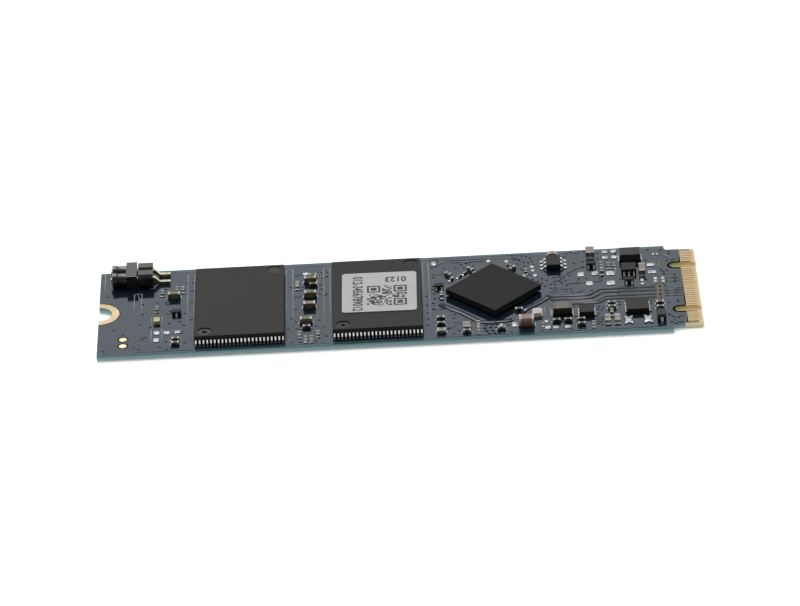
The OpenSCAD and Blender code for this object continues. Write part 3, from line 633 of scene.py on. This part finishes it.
print("traces under the mask")
traces = {
    # half width, slope and height of the raised line, half width of the dark gap round it, and
    # how far that gap is moved to the near side as painted shade
    "wide": {"half": 0.26, "slope": 0.08, "rise": 0.03, "gap": 0.34, "lag": 0.12},
    "fine": {"half": 0.13, "slope": 0.05, "rise": 0.02, "gap": 0.2, "lag": 0.06},
    "gapRise": 0.004, "sunk": 0.01, "arcStep": 15,
    # pairs from the controller to the contact edge
    "wideLines": [
        [(19.9, -1.15), (25.3, -1.15), (26.75, 0.25), (34.25, 0.25)],
        [(20.2, -1.95), (25.7, -1.95), (27.1, -0.6), (34.25, -0.6)],
        [(20.5, -2.8), (26.3, -2.8), (27.5, -1.65), (34.25, -1.65)],
        [(22.9, -3.3), (26.5, -3.3), (27.5, -2.4), (34.25, -2.4)],
    ],
    "fineLines": [
        [(35.4, 0.25), (36.3, 0.25), (36.95, -0.45), (37.8, -0.45)],
        [(35.4, -0.95), (37.8, -0.95)], [(35.4, -1.65), (37.8, -1.65)],
        [(35.4, -2.4), (37.8, -2.4)], [(35.2, 2.45), (37.6, 2.45)], [(35.5, 1.5), (37.6, 1.5)],
        [(35.4, 9), (36.9, 7.5), (37.4, 7.5)], [(35.6, -9.45), (37.6, -9.45)],
        [(35.9, -7.9), (37.6, -7.9)], [(33.1, -3.1), (34, -3.1)],
        # beyond the controller
        [(4.9, 8.4), (6.5, 10), (15.2, 10), (16.6, 9.2)], [(7.2, 9.35), (11.7, 9.35)],
        [(4.7, 6.35), (6.1, 6.35)], [(4.4, -1.4), (5.3, -1.4), (6.4, -2.7)],
        [(6.2, -8.6), (7.9, -6.9), (9.6, -6.9)], [(4.4, -3), (6.2, -3)],
        [(4.5, 3.2), (5.9, 3.2)], [(21.3, 4), (22.7, 4.8), (24.2, 6.25), (25.1, 6.25)],
        [(20.6, 0.7), (22.7, 0.7)], [(21.3, 3.1), (22.3, 2.1), (24.4, 2.1)],
        [(24.1, 3.3), (24.1, 2.3), (27.1, 2.3), (27.1, 3.9)], [(17.4, -2.75), (19.2, -2.75)],
        [(22.9, -0.2), (24.6, -0.2)],
        # at the screw end
        [(-30.8, -0.9), (-30.2, -0.3)], [(-33.7, -6.7), (-34.4, -7.3)],
        [(-30.6, 4.2), (-30.6, 2.4), (-31.1, 1.9)],
    ],
    # where the copper ends, a dark strip of painted shade where the mask drops off it: along the
    # long sides, round the key notches, at the contacts
    "edgeHalf": 0.09,
    "edges": [
        [(-39.3, -10.6), (35.6, -10.6)], [(-39.4, 10.35), (-29.5, 10.35)],
        [(-13.9, 10.3), (-9.9, 10.3)], [(4.4, 10.45), (18.2, 10.45)],
        [(37.92, 6.5), (37.92, 9.8)], [(37.92, -5.2), (37.92, 4.7)],
        [(37.92, -9.8), (37.92, -7)],
    ],
    # middle of the round end of each key notch, and the strip of painted shadow that runs round
    # it
    "keys": {"x": 37.1, "y": (5.625, -6.125), "radius": 0.8, "half": 0.17, "openX": 37.9},
    # radii of the thin outlines, half their width, and half the arc round the land
    "outlines": {"pad": 0.67, "land": 2.83, "half": 0.055, "arc": 84},
}


def strip(name, lines, half, finishName):
    # A thin strip of darker or lighter mask along the lines
    rise, sunk = traces["gapRise"], traces["sunk"]
    profile = [(-half, -sunk), (-half, rise), (half, rise), (half, -sunk)]
    finish(name, ridges(name, lines, profile), [finishName])


def roundLine(x, y, radius, first=0, last=360):
    # Points on an arc round a place, from one angle to another
    steps = max(int(abs(last - first) / traces["arcStep"]), 1)
    angles = [math.radians(first + (last - first) * i / steps) for i in range(steps + 1)]
    return [(x + radius * math.cos(a), y + radius * math.sin(a)) for a in angles]


for kind in ("wide", "fine"):
    sizes, lines = traces[kind], traces[kind + "Lines"]
    half, slope, rise, sunk = sizes["half"], sizes["slope"], sizes["rise"], traces["sunk"]
    profile = [(-half, -sunk), (-half + slope, rise), (half - slope, rise), (half, -sunk)]
    finish(kind + "Traces", ridges(kind + "Traces", lines, profile), ["trace"])
    # the dark gap round each line is partly a real gap and partly painted shade, shifted to the
    # near side
    strip(kind + "GapShade", [[(x, y - sizes["lag"]) for x, y in line] for line in lines],
          sizes["gap"], "gap")
# painted shade: the copper edges are drawn as dark strips
strip("copperEdges", traces["edges"], traces["edgeHalf"], "gap")

keys = traces["keys"]
rounds = []
for y in keys["y"]:
    rounds.append([(keys["openX"], y + keys["radius"])]
                  + roundLine(keys["x"], y, keys["radius"], 90, 270)
                  + [(keys["openX"], y - keys["radius"])])
# painted shadow along the far edge of each key notch
strip("keyEdgeShadow", rounds, keys["half"], "viaHole")

# thin dark outlines round the pads and the screw land
thin = traces["outlines"]
rings = [roundLine(x, y, thin["pad"]) for x, y in maskLook["pads"]]
rings.append(roundLine(card["notchX"], 0, thin["land"], -thin["arc"], thin["arc"]))
strip("landOutlines", rings, thin["half"], "viaHole")

# The keep-out bead that runs round the near side of the controller, with a strip of painted
# shade along it
bead = {"halfWidth": 0.3, "height": 0.05, "shadeHalf": 0.46, "lag": 0.1,
        "lines": [[(5.5, -1.75), (6.9, -3.05), (8.3, -4.3), (9.5, -5.65), (10.4, -6.7),
                   (10.95, -7.0), (11.9, -7.12), (14.2, -7.05), (14.9, -6.8)],
                  [(16.2, -5.1), (17, -4), (18.4, -2.9), (19.6, -1.7), (20.1, -0.9)]]}
angles = [math.radians(a) for a in range(180, -1, -30)]
arch = [(bead["halfWidth"] * math.cos(a), bead["height"] * math.sin(a)) for a in angles]
finish("controllerBead", ridges("controllerBead", bead["lines"], arch), ["trace"])
# painted shade: a dark strip shifted to the near side of the bead
strip("beadShade", [[(x, y - bead["lag"]) for x, y in line] for line in bead["lines"]],
      bead["shadeHalf"], "viaHole")

print("vias")
vias = {
    # radius and height of a ring, how much wider the wide ones are, steps round a ring,
    # and the share of the radius that is dark
    "ring": 0.25, "rise": 0.025, "wideBy": 1.45, "steps": 12, "dark": 0.64,
    "sunk": 0.001,
    "spots": [
        (-39, 4.5), (-37.9, -4.4), (-36.7, -5.8), (-39.2, -9.9), (-33.6, -6.7), (-34.3, -7.1),
        (-31.7, -9.5), (-34.5, -9.8), (-34.2, -0.55), (-33.1, -4.2), (-30.45, -0.05),
        (-30.85, -0.85), (-28.5, -0.85), (-29.15, -2.9), (-28.6, -4), (-27.6, 1.95),
        (-27.6, -2.65), (-27.6, 5), (-27.55, 7.3), (-31.1, 2.35), (-32.25, 2.35), (-30.6, -3.3),
        (-34.4, -3.3), (-30.8, -10.1), (-30.2, -10), (-28.9, -6), (-28.3, 7.3), (-30.9, -8.1),
        (-34.15, 2.05), (-28.45, -8.6), (-31.2, 5.9), (-35.2, -9.4),
        (-13.7, 7.7), (-13.25, 7.95), (-10.2, 8.4), (-9.5, 8.35), (-9.5, 7.2), (-10.1, 6.8),
        (-14.4, 4.8), (-12.85, 4.6), (-13, 3.8), (-10.4, 5), (-10.3, 3.8), (-13.75, 2),
        (-13.2, 2), (-10.5, 2.5), (-9.6, 2.5), (-9.8, 2), (-13.8, -1.2), (-10.9, -0.75),
        (-14.3, -3.7), (-13.75, -4.5), (-14.75, -6.4), (-13.6, -6.5), (-11, -6), (-10, -6.5),
        (-14.3, -9.9), (-13.1, -10.1), (-11.1, -9.95), (-9.7, -8.7), (-10.6, -4.4),
        (5.3, 10.1), (7.8, 7.7), (6.2, 7.8), (4.7, 5.5), (6.9, 3.8), (4.7, 1), (4.8, -0.25),
        (5.4, -0.3), (5.85, -0.2), (3.75, 0.5), (3.75, -1.9), (3.8, -4), (3.8, -5.5),
        (3.8, -7.2), (6.9, -3.85), (7.6, -3.9), (7.4, -4.75), (7.2, -5.7), (7.4, -7), (7.8, -9),
        (7.1, -9.8), (8.9, -5.9), (4.55, 2.2), (4.6, 8.1), (8.6, 8.6), (9.6, 8.7), (10.2, 8.1),
        (8.9, 7.7), (14.9, 10.6), (15.5, 10.4), (16.1, 10.3), (16.8, 10.1), (17.4, 9.9),
        (17.9, 9.4), (16.4, 8.9), (17, 8.4), (17.6, 8.2), (16.2, 8), (15.7, 9.1), (18.1, 8.6),
        (18.3, 7.6), (17.1, 7.3), (16.6, 6.6), (17.3, 4), (18, 3.6), (18.7, 3), (19.2, 2.4),
        (18.6, 4.4), (17.7, 5), (19.3, 3.7), (19.9, 3.2), (19.6, 1.6), (20.4, 2), (20.4, 1),
        (20.4, -0.1), (20.95, -0.1), (20.95, 1), (20.95, 2), (20.95, 2.75), (20.9, 3.8),
        (21.8, 3.4), (22.2, 3.7), (21.9, 2.1), (22.4, 2.9), (22.5, 1.6), (22.9, 1.9), (23, 0.5),
        (22.3, -0.1), (23, 4.1), (25.2, 10.6), (24.5, 10.6), (24.1, 10.1), (22.75, 10.2),
        (23.4, 10.5), (24.9, 7.8), (23.7, 7.4), (25.2, 3.2), (25.8, -0.1), (22.5, 9.3),
        (29.7, 2.4), (29.2, -1.15), (32.4, -1.15), (33.2, 2), (33.8, 10.1), (35.5, 9.9),
        (33.4, 7.3), (36.6, 9.3), (36.6, 8.8), (35.25, 4.6), (35.5, 4), (36, 4.3), (35.6, 3.4),
        (37, 3), (37, 1.9), (36.9, 1.1), (37, -1.25), (37, -3.7), (37, -4.3), (35.8, -4.4),
        (36.6, -6.9), (35.6, -7.3), (35.7, -7.65), (36.3, -8.3), (36.85, -8.5), (36.3, -9.1),
        (26.5, -4.6), (27, -4.8), (26.3, -5.2), (26.8, -5.5), (26.4, -6.4), (26.1, -7.1),
        (26.7, -7.4), (26.2, -7.8), (26.75, -8), (26.2, -8.4), (26.6, -8.6), (26.2, -9),
        (26.7, -9.4), (29.3, -3.6), (29.2, -4.3), (33.4, -4.4), (33.3, -6.6), (33.5, -3.8),
        (24.2, -9.7), (22.6, -10.1), (19.9, -10), (21.9, -7.1), (9.2, -10.1), (9.3, -8.6),
        (13.6, -9.9), (14.7, -10.1), (15.7, -10), (14.4, -8.2), (16.1, -6.4), (25.4, -4.2),
        (23.2, -4.1), (23.3, -6.9), (18, -7.5), (18.7, -10), (29.4, 9.3), (26.9, 8.3),
        (27, 9.9), (32.9, 9.3), (32.9, 5.6), (36.9, 6.9), (36.2, 7), (36.4, -10),
    ],
    # open rings with a wider bore that stand in a cluster near the controller
    "wide": [(11.4, -7.95), (12.15, -7.9), (12.85, -7.95), (11.2, -8.75), (12, -8.7),
             (12.8, -8.75), (11.4, -9.5), (12.2, -9.55), (12.9, -9.5), (11.7, -10.25),
             (12.5, -10.3), (16.95, 6.2), (9.3, 8.9)],
}


def viaTemplate():
    # A ring with a dent in it, one unit in radius, spun from half a section
    bm = bmesh.new()
    section = [(0, 0.1), (0.6, 0.1), (0.66, 0.8), (0.74, 1), (0.84, 0.8), (1, 0), (0, 0)]
    points = [bm.verts.new((x, 0, z)) for x, z in section]
    chain = [bm.edges.new(pair) for pair in zip(points, points[1:])]
    bmesh.ops.spin(bm, geom=points + chain, cent=(0, 0, 0), axis=(0, 0, 1),
                   steps=vias["steps"], angle=math.tau, use_merge=True)
    bmesh.ops.remove_doubles(bm, verts=bm.verts, dist=0.0001)
    for face in bm.faces:
        face.smooth = True
        middle = face.calc_center_median()
        face.material_index = 1 if math.hypot(middle.x, middle.y) < vias["dark"] else 0
    return meshFrom("viaTemplate", bm)


viaShape = viaTemplate()
bm = bmesh.new()
for kind, size in (("spots", vias["ring"]), ("wide", vias["ring"] * vias["wideBy"])):
    for x, y in vias[kind]:
        stamp(bm, viaShape, (x, y, card["top"] - vias["sunk"]), (size, size, vias["rise"]))
finish("maskedVias", meshFrom("maskedVias", bm), ["board", "viaHole"])

print("white print")
silk = {
    "halfWidth": 0.055, "height": 0.012, "sunk": 0.005,
    "lines": [
        [(-39.4, 10.9), (-39.4, 6.35), (-38.3, 6.35)],
        [(-33.3, 6.35), (-32.6, 6.35)],
        [(-35.35, -0.4), (-35.35, 4.95)], [(-34.35, 4.95), (-34.35, -0.4)],
        [(-35.35, -0.4), (-34.35, -0.4)], [(-35.35, 4.95), (-34.35, 4.95)],
        [(-32.9, -1.45), (-32.9, -4)], [(-31.5, -1.45), (-31.5, -4)],
        [(-32.9, -4.7), (-32.9, -8.4)], [(-31.5, -4.7), (-31.5, -8.4)],
        [(34.05, 5), (34.85, 5)], [(33.3, 5), (34.05, 5)],
        [(-30.5, -5.3), (-28.7, -5.3)], [(-30.5, 3), (-30.5, 4)],
        [(29.2, 6.9), (29.2, 3.1)], [(35.1, 6.6), (35.1, 5.4)],
        [(19.3, -3.9), (19.3, -6.9)], [(20, -3.9), (20, -7.1)],
    ],
    # x of each double line beside a flash package, and the side where its tick points
    "rails": [(-28.2, 1), (-27.3, -1), (-14.95, 1), (-14.1, -1), (-9.95, 1), (-9.1, -1),
              (3.4, 1), (4.15, -1)],
    "railEnds": (-9.35, 9.6),
}
for x, side in silk["rails"]:
    low, high = silk["railEnds"]
    silk["lines"].append([(x, low), (x, high)])
for (left, _), (right, _) in zip(silk["rails"][::2], silk["rails"][1::2]):
    for y in silk["railEnds"]:
        silk["lines"].append([(left, y), (right, y)])
half, rise, sunk = silk["halfWidth"], silk["height"], silk["sunk"]
profile = [(-half, -sunk), (-half, rise), (half, rise), (half, -sunk)]
finish("silkLines", ridges("silkLines", silk["lines"], profile), ["silk"])


def slabInto(bm, low, high):
    # A block between two corners given in millimetres
    size = [b - a for a, b in zip(low, high)]
    middle = [(a + b) / 2 * mm for a, b in zip(low, high)]
    bmesh.ops.create_cube(bm, size=1.0, matrix=Matrix.Translation(middle)
                          @ Matrix.Diagonal([value * mm for value in size] + [1]))


def textMesh(words, height, narrow, spot, turn):
    # Plain numbers as a thin closed mesh; spot is the middle in millimetres
    made = bpy.data.curves.new("plainNumbers", "FONT")
    made.body = words
    made.size = height / label["capShare"] * mm
    made.align_x = "CENTER"
    made.align_y = "CENTER"
    made.extrude = label["halfThick"] * mm
    made.offset = label["bold"] * mm
    made.resolution_u = 3
    mesh = meshOf(made)
    mesh.transform(Matrix.Translation(Vector(spot) * mm)
                   @ Matrix.Rotation(math.radians(turn), 4, "Z")
                   @ Matrix.Diagonal((narrow, 1, 1, 1)))
    return mesh


print("label print")
label = {
    "middle": (-2.52, 0.2), "turn": -0.7, "top": 2.05, "ink": 0.008, "sunk": 0.002,
    # half the thickness of the numbers, what is added to their strokes, and the share of
    # the font size that a number is high
    "halfThick": 0.004, "bold": 0.045, "capShare": 0.7,
    # generic code square: corner nearest the screw end, side, modules on a side
    "codeCorner": (-4.15, -3.5), "codeSide": 5.3, "modules": 21, "fill": 0.52,
    # words, height, width factor, middle and turn
    "numbers": [("0123", 1.3, 0.78, (-0.35, 3.5), 180),
                ("012-3456789012", 1.3, 0.72, (-5.47, -0.15), -90)],
}


def codeModule(column, row, count):
    # Three corner squares, and made-up modules elsewhere
    for cornerX, cornerY in ((0, 0), (count - 7, 0), (count - 7, count - 7)):
        dx, dy = column - cornerX, row - cornerY
        if -1 <= dx <= 7 and -1 <= dy <= 7:
            ring = max(abs(dx - 3), abs(dy - 3))
            return ring in (0, 1, 3)
    return random.random() < label["fill"]


random.seed(5)
bm = bmesh.new()
count, step = label["modules"], label["codeSide"] / label["modules"]
for row in range(count):
    for column in range(count):
        if codeModule(column, count - 1 - row, count):
            x = label["codeCorner"][0] + column * step
            y = label["codeCorner"][1] + row * step
            slabInto(bm, (x, y, label["top"] - label["sunk"]),
                     (x + step, y + step, label["top"] + label["ink"]))
for words, height, narrow, (x, y), turn in label["numbers"]:
    made = textMesh(words, height, narrow, (x, y, label["top"] + label["halfThick"]), turn)
    bm.from_mesh(made)
    bpy.data.meshes.remove(made)
bmesh.ops.remove_doubles(bm, verts=bm.verts, dist=0.0002 * mm)
middle = Vector((label["middle"][0], label["middle"][1], 0)) * mm
bmesh.ops.rotate(bm, verts=bm.verts, cent=middle,
                 matrix=Matrix.Rotation(math.radians(label["turn"]), 3, "Z"))
finish("labelPrint", meshFrom("labelPrint", bm), ["ink"])

print("solder on the empty pads")
mound = {
    # spread of a small mound past its pad, and what counts as a large one in square mm
    "spread": (1.12, 1.25, 0.9), "largeArea": 2.0,
    # a small mound on a unit pad: its corners, rim, and the crown's inset and rise
    "corner": 0.18, "rim": 0.1, "inset": 0.12, "crown": 0.16,
    # a large one: cuts, how far it crumples, how steep it falls and how far at most
    "cuts": 7, "crumple": 0.75, "fall": 1.4, "deepest": 0.8, "rough": 0.3,
}


def moundTemplate(cuts, crumple):
    # A pillow of solder on a unit pad, crowned a little, or crumpled where it is large
    bm = bmesh.new()
    bmesh.ops.create_cube(bm, size=1.0, matrix=Matrix.Translation((0, 0, 0.5)))
    upright = [edge for edge in bm.edges
               if abs(edge.verts[0].co.z - edge.verts[1].co.z) > 0.5]
    if not cuts:
        bmesh.ops.bevel(bm, geom=upright, offset=mound["corner"], offset_type="OFFSET",
                        segments=3, profile=0.5, affect="EDGES", material=-1)
        rim = [edge for edge in bm.edges if min(v.co.z for v in edge.verts) > 0.5]
        bmesh.ops.bevel(bm, geom=rim, offset=mound["rim"], offset_type="OFFSET",
                        segments=2, profile=0.5, affect="EDGES", material=-1)
        bm.normal_update()
        crown = [face for face in bm.faces if face.normal.z > 0.99]
        bmesh.ops.inset_region(bm, faces=crown, thickness=mound["inset"],
                               use_even_offset=True)
        bmesh.ops.translate(bm, verts=list({v for face in crown for v in face.verts}),
                            vec=(0, 0, mound["crown"]))
    else:
        bmesh.ops.subdivide_edges(bm, edges=bm.edges, cuts=cuts, use_grid_fill=True)
        for vert in bm.verts:
            away = math.hypot(vert.co.x, vert.co.y)
            angle = math.atan2(vert.co.y, vert.co.x)
            if vert.co.z > 0.9:
                fall = min(mound["fall"] * away ** 2, mound["deepest"])
                vert.co.z -= fall + random.uniform(0, crumple) * mound["rough"]
            pull = 1 - crumple * math.cos(2 * angle) ** 2 * away
            vert.co.x *= pull
            vert.co.y *= pull
    for face in bm.faces:
        face.smooth = True
    return meshFrom("moundTemplate", bm)


def islands(nodeName):
    # Low and high corners in millimetres of each loose solid of a CAD node
    bm = bmesh.new()
    bm.from_mesh(nodes[nodeName].data)
    bmesh.ops.remove_doubles(bm, verts=bm.verts, dist=weldGap)
    left, found = set(bm.verts), []
    while left:
        stack, group = [left.pop()], []
        while stack:
            vert = stack.pop()
            group.append(vert.co / mm)
            for edge in vert.link_edges:
                other = edge.other_vert(vert)
                if other in left:
                    left.remove(other)
                    stack.append(other)
        found.append(tuple(tuple(pick(co[axis] for co in group) for axis in range(3))
                           for pick in (min, max)))
    bm.free()
    return sorted(found)


random.seed(11)
smallMound = moundTemplate(0, 0.0)
largeMound = moundTemplate(mound["cuts"], mound["crumple"])
bm = bmesh.new()
for low, high in islands("solder_mounds"):
    size = [high[axis] - low[axis] for axis in range(3)]
    spot = [(low[0] + high[0]) / 2, (low[1] + high[1]) / 2, low[2]]
    if size[0] * size[1] > mound["largeArea"]:
        stamp(bm, largeMound, spot, size)
    else:
        stamp(bm, smallMound, spot, [a * b for a, b in zip(size, mound["spread"])])
finish("padSolder", meshFrom("padSolder", bm), ["brightSolder"], ["solder_mounds"])

print("camera and light")
studio = {
    "eye": (4.288, -609.379, 348.993), "right": (0.99873, -0.01981, -0.04642),
    "up": (0.0501, 0.4963, 0.8667), "ahead": (-0.00587, 0.86791, -0.49669), "lens": 237.0,
    "sensor": 36, "clip": (0.01, 50),
    # direction along Y where the white starts and is full, and the two light levels
    "backToFront": (-0.75, 0.35, 0.12, 1.0),
    # place and size in metres, and power in watts
    "lamp": {"spot": (-0.2, 0.45, 0.8), "size": 0.7, "power": 5.0},
    # half the width of the floor in metres, its depth under the card in millimetres, its
    # two tones, and how far it shines where the camera or a shiny surface looks
    "floor": {"half": 3.0, "under": 0.02, "tones": (0.93, 0.95), "shine": 0.22},
}


def makeCamera():
    made = bpy.data.cameras.new("photoCamera")
    made.sensor_width = studio["sensor"]
    made.lens = studio["lens"]
    made.clip_start, made.clip_end = studio["clip"]
    camera = bpy.data.objects.new("photoCamera", made)
    axes = Matrix((studio["right"], studio["up"], [-v for v in studio["ahead"]])).transposed()
    spot = Matrix.Translation(Vector(studio["eye"]) * mm)
    camera.matrix_world = spot @ axes.to_4x4().to_quaternion().to_matrix().to_4x4()
    scene.collection.objects.link(camera)
    scene.camera = camera


def makeWorld():
    # White where the camera looks, and as light white behind and above, dark in front
    world = bpy.data.worlds.new("studioWorld")
    world.use_nodes = True
    scene.world = world
    world.node_tree.nodes.clear()
    g = Graph(world.node_tree)
    path = g.node("ShaderNodeLightPath")
    seen = g.math("MAXIMUM", path.outputs["Is Camera Ray"],
                  path.outputs["Is Transmission Ray"])
    ahead = g.split(g.node("ShaderNodeTexCoord").outputs["Generated"])[1]
    back = g.node("ShaderNodeMapRange", interpolation_type="SMOOTHSTEP")
    for label, value in zip(("From Min", "From Max", "To Min", "To Max"), studio["backToFront"]):
        back.inputs[label].default_value = value
    g.join(ahead, back.inputs["Value"])
    level = g.math("MAXIMUM", seen, back.outputs[0])
    sky = g.node("ShaderNodeBackground")
    sky.inputs["Color"].default_value = (1, 1, 1, 1)
    g.join(level, sky.inputs["Strength"])
    g.join(sky.outputs[0], g.node("ShaderNodeOutputWorld").inputs[0])


def makeLamp():
    # Aimed at the middle of the card
    settings = studio["lamp"]
    light = bpy.data.lights.new("keyLamp", "AREA")
    light.shape = "DISK"
    light.size = settings["size"]
    light.energy = settings["power"]
    lamp = bpy.data.objects.new("keyLamp", light)
    lamp.location = settings["spot"]
    lamp.rotation_euler = (-lamp.location).to_track_quat("-Z", "Y").to_euler()
    scene.collection.objects.link(lamp)


def makeFloor():
    # Pale floor that is white where nothing shades it
    settings = studio["floor"]
    material, g, bsdf, coords = newMaterial("paleFloor", Roughness=0.9)
    spots = g.node("ShaderNodeTexNoise", in_Scale=40.0, in_Detail=3.0)
    g.join(coords, spots.inputs["Vector"])
    low, high = [(level, level, level, 1) for level in settings["tones"]]
    g.join(g.mix(spots.outputs[0], low, high), bsdf.inputs["Base Color"])
    bsdf.inputs["Specular IOR Level"].default_value = 0.0
    path = g.node("ShaderNodeLightPath")
    seen = g.math("MAXIMUM", path.outputs["Is Camera Ray"], path.outputs["Is Glossy Ray"])
    bsdf.inputs["Emission Color"].default_value = (1, 1, 1, 1)
    g.join(g.times(seen, settings["shine"]), bsdf.inputs["Emission Strength"])
    bm = bmesh.new()
    bmesh.ops.create_grid(bm, x_segments=8, y_segments=8, size=settings["half"])
    bmesh.ops.translate(bm, verts=bm.verts, vec=(0, 0, -settings["under"] * mm))
    mesh = bpy.data.meshes.new("floor")
    bm.to_mesh(mesh)
    bm.free()
    mesh.materials.append(material)
    floor = bpy.data.objects.new("floor", mesh)
    scene.collection.objects.link(floor)


makeCamera()
makeWorld()
makeLamp()
makeFloor()
scene.view_settings.view_transform = "Standard"
